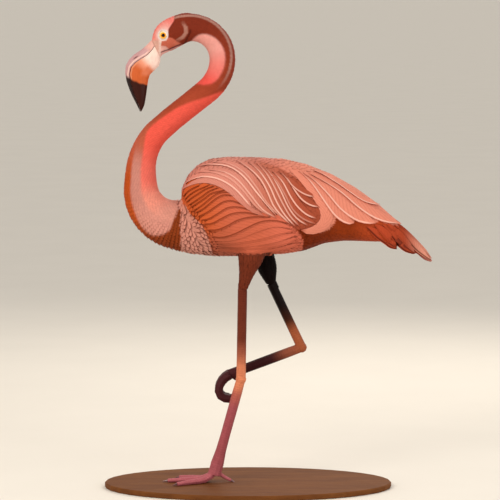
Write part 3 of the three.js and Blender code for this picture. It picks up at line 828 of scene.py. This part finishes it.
def neckRoots():  # where the feathers grow, row by row, and which way they point
    spacing, half = smoothCurve(neckCoat["spacing"]), smoothCurve(neckCoat["half"])
    roots, ways, at, row = [], [], neckCoat["first"], 0
    while at < neckKit["length"]:
        i = int(np.searchsorted(neckLengths, at)) - 1
        middle = Vector((neckPlaces[i][0], 0, neckPlaces[i][1]))
        heading = neckHeadings[i]
        up = Vector((-math.sin(heading), 0, math.cos(heading)))
        depth = float(neckDepth(at))
        around = 2 * math.pi * depth * neckCoat["girth"]
        count = max(neckCoat["fewest"], round(around / (neckCoat["apart"] * float(half(at)))))
        for column in range(count):
            angle = 2 * math.pi * (column + 0.5 * (row % 2) + 0.25 * (dice.random() - 0.5)) / count
            ray = up * math.cos(angle) + Vector((0, math.sin(angle), 0))
            place, _, _, _ = outerTree.ray_cast(middle + ray * neckCoat["outside"] * depth, -ray)
            if place and (place - middle).length < neckCoat["farthest"] * depth:
                roots.append(place)
                ways.append((math.cos(heading), 0, math.sin(heading)))
        at += float(spacing(at))
        row += 1
    return np.array(roots), np.array(ways)


roots, ways = neckRoots()
fromEye = np.hypot(roots[:, 0] - eyeX, roots[:, 2] - eyeZ)
lengthAt = neckPlace(roots)[0]
x, z = roots[:, 0], roots[:, 2]
kept = (fromEye > neckCoat["bareEye"]) & (behindBill(roots, lengthAt) > neckCoat["behindBill"]) & onNeck(roots)
kept &= (x < neckEnd["before"]) | (z < neckEnd["climb"]) | (z > neckEnd["above"])
roots, ways, lengthAt = roots[kept], ways[kept], lengthAt[kept]
face, throat = lengthAt < neckCoat["throat"], lengthAt >= neckCoat["throat"]


def neckLay(which):
    size, half = (smoothCurve(neckCoat[name])(lengthAt[which]) for name in ("length", "half"))
    return smallLay(neckCoat, roots[which], ways[which], size, half, edge=neckCoat["edge"])


joinFeathers("headFeathers", [neckLay(face)])
joinFeathers("neckFeathers", [neckLay(throat)])

# the lines that the wing's and back's feathers follow, seen from the side
featherLines = dict(  # in millimetres, each feather's line from its root, the upper ones first
    mantle=[
        [(92, 783), (107, 764), (125, 748), (145, 737), (166, 731)],
        [(79, 796), (102, 773), (117, 748), (135, 725), (156, 711), (180, 705)],
        [(61, 797), (86, 770), (106, 733), (124, 707), (147, 687), (173, 676)],
        [(45, 800), (70, 774), (92, 738), (112, 700), (139, 676), (172, 662)],
        [(36, 812), (61, 784), (83, 744), (102, 704), (124, 676), (152, 658)],
        [(20, 820), (48, 788), (69, 750), (88, 712), (106, 682), (130, 656)],
        [(0, 822), (30, 794), (54, 758), (72, 718), (92, 686), (120, 655)],
        [(-31, 826), (0, 806), (30, 777), (48, 745), (67, 704), (108, 660)],
        [(-92, 819), (-50, 816), (-10, 793), (20, 757), (50, 713), (94, 672)],
        [(-133, 806), (-100, 814), (-50, 809), (-13, 785), (22, 742), (73, 682)],
        [(-100, 800), (-59, 794), (-26, 774), (5, 738), (36, 700), (72, 677)],
        [(-124, 795), (-84, 793), (-44, 777), (-10, 745), (20, 708), (56, 682)],
        [(-163, 762), (-145, 775), (-110, 783), (-70, 775), (-31, 750), (10, 703)],
        [(-168, 750), (-147, 761.5), (-122, 768.5), (-96, 767.5), (-70, 758.5), (-46, 743.5),
         (-18, 717.5), (10, 695), (40, 683)]],
    coverts=[
        [(-166, 732), (-153, 745), (-138, 754), (-122, 760)],
        [(-163, 723), (-148, 737), (-130, 748), (-99, 760)],
        [(-158, 717), (-143, 729), (-125, 740), (-107, 751), (-86, 758)],
        [(-153, 709), (-135, 720), (-115, 733), (-99, 745), (-75, 754)],
        [(-148, 703), (-130, 714), (-110, 727), (-92, 740), (-59, 748)],
        [(-140, 696), (-122, 706), (-105, 719), (-89, 732), (-71, 742), (-46, 743)],
        [(-135, 690), (-115, 700), (-97, 714), (-79, 728), (-61, 736), (-36, 734)],
        [(-128, 681), (-105, 691), (-84, 705), (-61, 719), (-38, 721), (-14, 711)],
        [(-122, 672), (-99, 676), (-76, 689), (-50, 704), (-20, 705), (6, 697)],
        [(-115, 663), (-92, 664), (-68, 676), (-40, 689), (-5, 692), (25, 686)],
        [(-105, 648), (-79, 648), (-55, 657), (-22, 674), (15, 681), (56, 680)],
        [(-97, 632), (-66, 629), (-36, 637), (-5, 652), (30, 668), (66, 672), (102, 664)],
        [(-92, 622), (-56, 621), (-20, 629), (20, 645), (66, 658), (108, 653)],
        [(-89, 615), (-51, 613), (-5, 618), (38, 626), (75, 637), (116, 646)],
        [(-87, 609), (-41, 607), (10, 609), (56, 617), (94, 627), (121, 638)],
        [(-84, 604), (-33, 601), (20, 601), (66, 606), (102, 616), (126, 629)],
        [(-82, 598), (-51, 594), (-15, 592), (26, 592), (66, 595), (102, 602), (128, 614)]],
    tertials=[
        [(166, 799), (191, 788), (230, 764), (260, 742), (295, 720), (334, 710)],
        [(156, 791), (196, 769), (237, 742), (275, 709), (315, 682), (350, 669), (388, 663)],
        [(140, 793), (170, 771), (203, 737), (235, 700), (270, 676), (300, 667), (322, 666)],
        [(128, 798), (158, 769), (188, 727), (214, 691), (235, 673), (255, 665), (267, 667)]],
    lobe=[
        [(107, 801), (140, 778), (168, 747), (189, 717), (199, 691), (194, 666), (173, 650), (150, 645),
         (133, 648)]],
    guides=[  # these steer the small feathers only
        [(-172, 725), (-176, 660), (-160, 595)],
        [(-120, 583), (100, 590), (300, 620)],
        [(150, 610), (350, 645)],
        [(20, 833), (200, 800), (360, 710)],
        [(-168, 770), (-130, 825), (-40, 838)]],
)
guidePoints, guideWays = [], []
for lines in featherLines.values():
    for line in lines:
        smoothLine = through(line, 24)
        guidePoints.extend(smoothLine)
        guideWays.extend(unit(np.gradient(smoothLine, axis=0)))
guideTree = pointTree([(x, 0, z + baseTop) for x, z in guidePoints])


def flowAt(point):  # which way the body's feathers lie
    if onThigh(np.array([point]))[0]:
        return (0.05, 0, -1)
    near = guideTree.find_n((point[0], 0, point[2]), 3)
    way = sum(np.array(guideWays[i]) / (off + 0.004) for _, i, off in near)
    return (way[0], 0, way[1])


# the body's covering feathers, scattered evenly
bodyVane = dict(
    steps=6, columns=5, luck=0.12,
    plain=0.75, plainOver=0.03,  # how much the painted shade along the edges fades above the coverts, and over what height
)
bodyCoat = dict(  # high is the lift of a feather's tip, and edge the painted shade along its edges
    body=dict(name="bodyFeathers", spacing=0.0092, length=0.027, half=0.0085, edge=0.45, high=-0.0012),
    chest=dict(name="breastScales", spacing=0.0084, length=0.0195, half=0.0060, edge=0.9, high=0.0),
    thigh=dict(name="thighFeathers", spacing=0.0062, length=0.017, half=0.0042, edge=0.3, high=0.0006),
)


def scatter(candidates, spacing):  # no two closer than the spacing
    tree = pointTree(candidates)
    gone, kept = np.zeros(len(candidates), bool), []
    for i in dice.permutation(len(candidates)):
        if not gone[i]:
            kept.append(i)
            for _, other, _ in tree.find_range(candidates[i], spacing):
                gone[other] = True
    return candidates[kept]


centres = pointsOf(outer, "polygons", "center")
centres = centres[~onNeck(centres)]
inChest = onChest(centres[:, 0], (asSeen(centres) - (0, 0, baseTop))[:, 2])
inThigh = onThigh(centres)
tracts = dict(chest=inChest & ~inThigh, thigh=inThigh, body=~inChest & ~inThigh)


def bodyLay(kit, candidates):
    found = scatter(candidates, kit["spacing"])
    directions = [flowAt(point) for point in found]
    size, half = (np.full(len(found), kit[name]) for name in ("length", "half"))
    height = asSeen(found)[:, 2] - baseTop - bodyEdges["covertTop"](found[:, 0])
    above = ease(0.0, bodyVane["plainOver"], height)
    return smallLay(dict(bodyVane, **kit), found, directions, size, half, hug=outerTree, droop=coatKit["droop"],
                    edge=kit["edge"] * (1 - bodyVane["plain"] * above))


for tract, kit in bodyCoat.items():
    joinFeathers(kit["name"], [bodyLay(kit, centres[tracts[tract]])])

# the wing's long feathers
wingKit = dict(  # a feather covers the space from its line up to the next one
    lobe=dict(under=0.0165, widest=0.0165, overlap=1.0, shape="plume", low=0.0002, high=0.0010, tilt=0.0),
    coverts=dict(under=0.0024, widest=0.030, overlap=1.25, shape="plume", low=-0.0004, high=0.0010,
                 tilt=-0.0012, line=[0.95] * 12 + [0.1, 0.45, 0.1, 0.4, 0.3]),
    tertials=dict(under=0.0030, widest=0.028, overlap=1.2, shape="lobe", low=0.0006, high=0.0024, tilt=-0.0012,
                  top=0.012, coloursFrom=0.012, stem=[0.85, 0.9, 0.85, 0.9]),
    mantle=dict(under=0.0030, widest=0.014, overlap=1.20, shape="plume", low=0.0008, high=0.0014, tilt=-0.0006,
                coloursFrom=0.006,
                stem=[0.7, 0.85, 0.85, 0.3, 0.8, 0.6, 0.85, 0.8, 0.4, 0.95, 0.6, 0.3, 0.9, 0.0]),
)
vaneSteps, vaneColumns, gapSteps, wingLuck = 17, 7, 80, 0.08


def wingLay(kit, rows, side, tree):  # one side's feathers of a tract
    steps, columns = vaneSteps, vaneColumns
    lines = np.array([through(row, steps) for row in rows])
    gaps = [np.full(steps, kit.get("top", kit["widest"]))]
    for line, above in zip(lines[1:], rows[:-1]):
        gaps.append(np.linalg.norm(line[:, None] - through(above, gapSteps)[None], axis=-1).min(1))
    over = np.clip(np.array(gaps) * kit["overlap"], kit["under"], kit["widest"])
    under = np.full_like(over, kit["under"])
    shafts, normals = np.empty((len(lines), steps, 3)), np.empty((len(lines), steps, 3))
    for i, line in enumerate(lines):
        for j, (x, z) in enumerate(line):
            shafts[i, j], normals[i, j] = fromSide(x, z + baseTop, side, tree)
    lay = spread(shafts, normals, (under, over) if side < 0 else (over, under), kit["low"], kit["high"],
                 kit["shape"], columns, stem=kit.get("stem", 0.0), line=kit.get("line", 0.0), hug=tree,
                 droop=coatKit["droop"], tilt=-side * kit["tilt"])
    if kit.get("flat"):  # blades stand flat beside the core, and don't lie round it
        across = np.linspace(-1, 1, columns)
        reach = np.where(across < 0, under[..., None], over[..., None]) * across
        reach = reach * vaneShapes[kit["shape"]](np.linspace(0, 1, steps))[:, None]
        x, z = np.moveaxis(lines, -1, 0)
        wayX, wayZ = np.moveaxis(unit(np.gradient(lines, axis=1)), -1, 0)
        off = (lay["points"][..., 1] * side).max(2)[..., None] + kit["tilt"] * across
        blades = np.stack([x[..., None] - wayZ[..., None] * reach, off * side,
                           z[..., None] + wayX[..., None] * reach + baseTop + off * lookDown], -1)
        lay["points"] = blades if side < 0 else blades[:, :, ::-1]
    outside = np.maximum(side * lay["points"][..., 1], coatKit["middleGap"])
    lay["points"][..., 1] = side * outside
    colours = coloursOver(shafts + (0, 0, kit.get("coloursFrom", 0.0)))
    colours = np.broadcast_to(colours[:, :, None], lay["points"].shape)
    return coloured(lay, colours, wingLuck)


for tract, kit in wingKit.items():
    lays = [wingLay(kit, featherLines[tract], side, outerTree) for side in sides.values()]
    joinFeathers(tract + "Feathers", lays)

# the flight feathers and the tail, over a thin core
rearNodes = ["primaries_left", "primaries_right", "tail"]
flightKit = dict(under=0.0030, widest=0.018, overlap=1.15, shape="blade", low=0.0002, high=0.0010, tilt=-0.0010,
                 top=0.0055, flat=True, line=[0.2, 0.95, 0.3, 0.95, 0.3, 0.95],
                 voxel=0.0022, rounds=3, sink=0.0010, dark=0.45)
flightLines = [
    [(380, 664), (408, 636), (439, 604), (468, 575)],
    [(370, 660), (388, 643), (406, 622), (426, 599), (444, 585), (466, 571)],
    [(352, 662), (377, 637), (400, 613), (423, 591)],
    [(340, 660), (357, 641), (371, 624), (381, 610), (400, 595), (422, 587)],
    [(320, 660), (337, 643), (357, 622), (379, 603)],
    [(300, 655), (314, 641), (329, 627), (347, 615), (362, 604), (380, 599)],
]
rear = evenShell("flightCore", copyOf(rearNodes), flightKit["voxel"], flightKit["rounds"], whole=False)
rearPoints, rearTree = pointsOf(rear), faceTree(outer, rear)
corePoints = rearPoints - pointsOf(rear, field="normal") * flightKit["sink"]
coreColours = graded(rearPoints[:, 0], "8e3620", ("c98074", 0.43, 0.47))
addTinted("flightCore", rear.copy(), corePoints, coreColours, skinFinish, rearNodes)
lays = [wingLay(flightKit, flightLines, side, rearTree) for side in sides.values()]
for lay in lays:
    x = lay["points"][..., 0]
    lower = np.linspace(0, 1, len(flightLines))[:, None, None]
    red = graded(x, "c04c2c", ("a84428", 0.33, 0.42))
    lay["tints"] = tinted(red, "e69a84", ease(0.39, 0.45, x) * ease(0.6, 0.3, lower))
    lay["tints"][1::2, :, vaneColumns // 2] *= flightKit["dark"]  # the dark shaft of every other feather
joinFeathers("flightFeathers", lays)
print("feathers are on")

# the bill
billKit = dict(
    voxel=0.0011, rounds=6, darkFrom=0.565, slant=2.6,
    nostril=dict(along=0.30, reach=0.055, above=0.0105, half=0.0026, depth=0.0017),
    comb=dict(rate=620, depth=0.00022),  # the fine teeth along the bill's edges
)
billLine = [(-232.5, 1111), (-245, 1090), (-266, 1071.5), (-280, 1053), (-282.5, 1024), (-278, 991.5),
            (-273, 966), (-272.5, 949)]


def billPaint():
    paint = Paint("billHorn", Coat_Roughness=0.25, Specular_IOR_Level=0.12)
    place = paint.place()
    tint = paint.attribute("tint")
    cloudy = paint.noise(place, 60.0, 4.0)
    streaks = paint.noise(paint.stretched(place, (1.0, 1.0, 0.25)), 420.0, 4.0, 0.6)
    colour = paint.shaded(cloudy * 0.35, tint, tint, "c8a8a0")
    colour = paint.shaded(paint.between(streaks, 0.5, 0.75) * 0.18, colour, tint, "8c6a60")
    return paint.done(Base_Color=colour, Roughness=0.34 + streaks * 0.22, Coat_Weight=0.04,
                      Normal=paint.bump(streaks, 0.12, 0.0004))


def billColours(points, upper, toOther):
    x, z = points[:, 0], points[:, 2] - baseTop
    line = through(billLine, 40)
    left, along = besideLine(x, z, line)  # left of the way down the bill is its lower, inner side
    if upper:
        colours = layered(graded(along, "dca596", ("cf9488", 0.25, 0.50)),
                          ("c59aa0", ease(0.0052, 0.0095, -left - 0.004) * 0.8),
                          # a painted highlight: a pale streak along the upper bill beside the mouth line
                          ("f2cdbf", spot(toOther, 0.0052, 0.0026) * ease(0.05, 0.15, along)),
                          ("e8b2a6", ease(0.12, 0.02, along)))
    else:
        colours = layered(graded(along, "fde2d6", ("f3a283", 0.17, 0.30), ("cf6331", 0.26, 0.40)),
                          ("e2805a", ease(0.006, 0.018, left) * ease(0.2, 0.3, along)
                           * ease(0.52, 0.40, along)),
                          ("e39a74", spot(toOther, 0.0046, 0.0022) * ease(0.25, 0.33, along)))
    wander = 0.004 * np.sin(x * 400 + 1.3) + 0.004 * np.sin(points[:, 1] * 500)
    dark = ease(-0.022, 0.022, along - billKit["darkFrom"] - billKit["slant"] * left + wander)
    colours = layered(colours, ("2a1e1e" if upper else "381208", dark),
                      # painted shade along the mouth line, where the two halves of the bill meet
                      ("4a2014", ease(0.0020, 0.0006, toOther) * 0.9))
    return colours, along


shells = {part: evenShell("bill" + part, copyOf(["bill_" + part.lower()]), billKit["voxel"], billKit["rounds"])
          for part in ("Upper", "Lower")}
trees = {part: faceTree(mesh) for part, mesh in shells.items()}
hornFinish = billPaint()
for part, mesh in shells.items():
    points, out = pointsOf(mesh), pointsOf(mesh, field="normal")
    other = trees["Lower" if part == "Upper" else "Upper"]
    toOther = np.array([other.find_nearest(Vector(point))[3] for point in points])
    colours, along = billColours(points, part == "Upper", toOther)
    if part == "Upper":
        kit = billKit["nostril"]
        slit = spot(along, kit["along"], kit["reach"]) * spot(toOther, kit["above"], kit["half"])
        slit = slit * (np.abs(out[:, 1]) > 0.5)
        points = points - out * (slit * kit["depth"])[:, None]
        # the slit is pushed in and painted dark: painted shade inside the nostril
        colours = tinted(colours, "5a2c22", slit)
    kit = billKit["comb"]
    comb = np.sin(along * kit["rate"]) * ease(0.0035, 0.0012, toOther) * (along > 0.1) * (along < 0.9)
    points = points + out * (comb * kit["depth"])[:, None]
    addTinted("bill" + part, mesh, points, colours, hornFinish, ["bill_" + part.lower()])
print("bill is on")

# the eyes and their lids
eyeKit = dict(radius=0.0105, pupil=0.0047, iris=0.0079, lid=0.0087, lidThick=0.0016, soft=0.0004)


def eyePaint(name, middle):
    paint = Paint(name, Roughness=0.12, Coat_Weight=0.03, Coat_Roughness=0.03, Specular_IOR_Level=0.2)
    x, _, z = paint.parts(paint.place())
    dx, dz = x - middle.x, z - middle.z
    off = (dx * dx + dz * dz) ** 0.5
    turn = dz.math("ARCTAN2", dz, dx)
    rays = (turn * 46).wave() * 0.5 + (turn * 17 + 1.0).wave() * 0.5
    gold = paint.blend(paint.between(off, eyeKit["pupil"], eyeKit["iris"]), "f08c00", "ffc814")
    gold = paint.blend(paint.between(rays, 0.0, 1.0) * 0.35, gold, "d87400")
    rim = paint.between(off, eyeKit["iris"] - 2 * eyeKit["soft"], eyeKit["iris"])
    colour = paint.blend(rim, gold, "f4d0a0")
    hole = paint.between(off, eyeKit["pupil"], eyeKit["pupil"] - eyeKit["soft"])
    colour = paint.blend(hole, colour, "050404")
    return paint.done(Base_Color=colour)


def lidPaint():
    paint = Paint("lidSkin", Roughness=0.5)
    grain = paint.noise(paint.place(), 900.0, 3.0)
    return paint.done(Base_Color=paint.blend(grain, "fbe6e2", "f6cfc8"), Roughness=0.4 + grain * 0.2,
                      Normal=paint.bump(grain, 0.3, 0.0003))


lidFinish = lidPaint()
for name, side in sides.items():
    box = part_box("eye_" + name.lower())
    outside = box[0].y if side < 0 else box[1].y
    middle = Vector((eyeX, outside - side * eyeKit["radius"], eyeZ))
    ball = bmesh.new()
    bmesh.ops.create_uvsphere(ball, u_segments=48, v_segments=32, radius=eyeKit["radius"])
    bmesh.ops.rotate(ball, verts=ball.verts, matrix=Matrix.Rotation(math.pi / 2, 3, "X"))
    bmesh.ops.translate(ball, verts=ball.verts, vec=middle)
    addPiece("eyeball" + name, meshOf("eyeball" + name, ball), eyePaint("eye" + name, middle),
             ["eye_" + name.lower()])
    lid = bmesh.new()
    bmesh.ops.create_circle(lid, segments=14, radius=eyeKit["lidThick"])
    bmesh.ops.translate(lid, verts=lid.verts, vec=(eyeKit["lid"], 0, 0))
    bmesh.ops.spin(lid, geom=lid.verts[:] + lid.edges[:], cent=(0, 0, 0), axis=(0, 1, 0), angle=2 * math.pi,
                   steps=56, use_merge=True)
    for vert in lid.verts:  # the ring lies on the face
        middleX, middleZ = Vector((vert.co.x, vert.co.z)).normalized() * eyeKit["lid"]
        place, _ = fromSide(eyeX + middleX, eyeZ + middleZ, side)
        vert.co = Vector((eyeX + vert.co.x, place.y + vert.co.y * 1.3, eyeZ + vert.co.z))
    bmesh.ops.recalc_face_normals(lid, faces=lid.faces)
    addPiece("lid" + name, meshOf("lid" + name, lid), lidFinish)
print("eyes are in")

# the legs and feet
legKit = dict(
    voxel=0.0010, rounds=5, plug=0.0112, plugLength=0.030,
    reach=0.020,  # how far from its lines the leg goes
    scute=0.0062, scuteDepth=0.00035, groove=0.86,  # groove is how dark the painted shade is between the scutes
    lines=dict(  # knee, ankle and foot
        Left=[(-0.014, -0.033, 0.520), (-0.018, -0.022, 0.268), (-0.084, -0.014, 0.030)],
        Right=[(0.057, 0.046, 0.520), (0.138, 0.050, 0.340), (-0.047, 0.032, 0.273)],
    ),
)


def legPlace(points, chain):  # how far down the leg a place is
    down, off, done = np.zeros(len(points)), np.full(len(points), np.inf), 0.0
    chain = np.array(chain) + (0, 0, baseTop)
    for start, end in zip(chain[:-1], chain[1:]):
        way = end - start
        size = np.linalg.norm(way)
        t = np.clip((points - start) @ way / size ** 2, 0, 1)
        gap = np.linalg.norm(points - start - t[:, None] * way, axis=1)
        down = np.where(gap < off, done + t * size, down)
        off = np.minimum(off, gap)
        done += size
    beyond = np.linalg.norm(points - chain[-1], axis=1)
    return np.where(off > legKit["reach"], done + beyond, down)  # the toes lie beyond the last place


def legColours(name, down, foot):  # from the knee down to the foot; the dark tops of the legs and the far leg's near-black and maroon are painted shade
    if name == "Left":
        # the near leg: its dark brown top is painted shade, and the pinks below are its own colours
        return graded(down, "74301e", ("7c3824", 0.02, 0.13), ("b4644a", 0.143, 0.188),
                      ("fc9c70", 0.178, 0.233), ("cf7060", 0.263, 0.298), ("bc6066", 0.293, 0.333),
                      ("cf747c", foot - 0.05, foot + 0.03))
    # the far leg: its near-black, dark brown and maroon are painted shade
    return graded(down, "140504", ("46200f", 0.07, 0.125), ("b8653f", 0.112, 0.157), ("a25a40", 0.197, 0.227),
                  ("3c1418", 0.227, 0.287), ("54262a", foot - 0.06, foot))


def legPaint():
    paint = Paint("legSkin", Specular_IOR_Level=0.08)
    place = paint.place()
    tint = paint.attribute("tint")
    mottle = paint.noise(place, 70.0, 5.0, 0.6)
    cells = paint.node("TexVoronoi", {"feature": "DISTANCE_TO_EDGE"}, Vector=place, Scale=420.0)
    colour = paint.shaded(mottle * 0.55, tint, tint, "a08088")
    # painted shade along the fine grooves between the small scales
    colour = paint.shaded(paint.between(cells, 0.12, 0.0) * 0.35, colour, tint, "70504c")
    bump = paint.bump(paint.between(cells, 0.0, 0.2), 0.35, 0.0004)
    return paint.done(Base_Color=colour, Roughness=0.38 + mottle * 0.25, Normal=bump)


legFinish = legPaint()
for name in sides:
    nodes = [part + name.lower() for part in ("shank_", "tarsus_", "foot_")]
    source = copyOf(nodes)
    chain = legKit["lines"][name]
    knee, ankle = (Vector(place) + Vector((0, 0, baseTop)) for place in chain[:2])
    turn = (ankle - knee).to_track_quat("Z", "Y").to_matrix().to_4x4()  # the leg goes on up inside the thigh
    bmesh.ops.create_cone(source, cap_ends=True, segments=16, radius1=legKit["plug"], radius2=legKit["plug"],
                          depth=legKit["plugLength"], matrix=Matrix.Translation(knee.lerp(ankle, 0.08)) @ turn)
    mesh = evenShell("leg" + name, source, legKit["voxel"], legKit["rounds"])
    points, out = pointsOf(mesh), pointsOf(mesh, field="normal")
    down = legPlace(points, chain)
    foot = sum(math.dist(start, end) for start, end in zip(chain[:-1], chain[1:]))
    rings = (down / legKit["scute"]) % 1.0
    plates = ease(0.0, 0.22, rings) * ease(1.0, 0.8, rings)
    points = points + out * ((plates - 0.6) * legKit["scuteDepth"])[:, None]
    # painted shade in the grooves between the scutes
    colours = legColours(name, down, foot) * (legKit["groove"] + (1 - legKit["groove"]) * plates[:, None])
    addTinted("leg" + name, mesh, points, colours, legFinish, nodes)
    print("leg" + name, "has", len(mesh.polygons) * 2, "triangles")


# what keeps its CAD shape: the claws and the base
def clawPaint():
    paint = Paint("clawHorn", Coat_Weight=0.2)
    grain = paint.noise(paint.stretched(paint.place(), (0.3, 1.0, 1.0)), 500.0, 3.0)
    return paint.done(Base_Color=paint.blend(grain, "4a2426", "7a4444"), Roughness=0.3 + grain * 0.2)


def basePaint():
    paint = Paint("baseWood", Specular_IOR_Level=0.15)
    place = paint.place()
    wavy = paint.noise(paint.stretched(place, (1.2, 9.0, 9.0)), 5.0, 4.0, 0.6)
    fine = paint.noise(paint.stretched(place, (3.0, 60.0, 60.0)), 14.0, 3.0, 0.7)
    colour = paint.blend(paint.between(wavy, 0.3, 0.7), "623614", "74441c")
    colour = paint.blend(paint.between(fine, 0.45, 0.75) * 0.4, colour, "4c2a10")
    return paint.done(Base_Color=colour, Roughness=0.6 + fine * 0.25,
                      Normal=paint.bump(fine, 0.2, 0.0006))


clawFinish, baseFinish = clawPaint(), basePaint()
for node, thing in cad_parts.items():
    finish = clawFinish if node.startswith("claw_") else baseFinish if node == "stand_base" else None
    if finish:
        if not thing.material_slots:
            thing.data.materials.append(finish)
        for materialSlot in thing.material_slots:
            materialSlot.material = finish
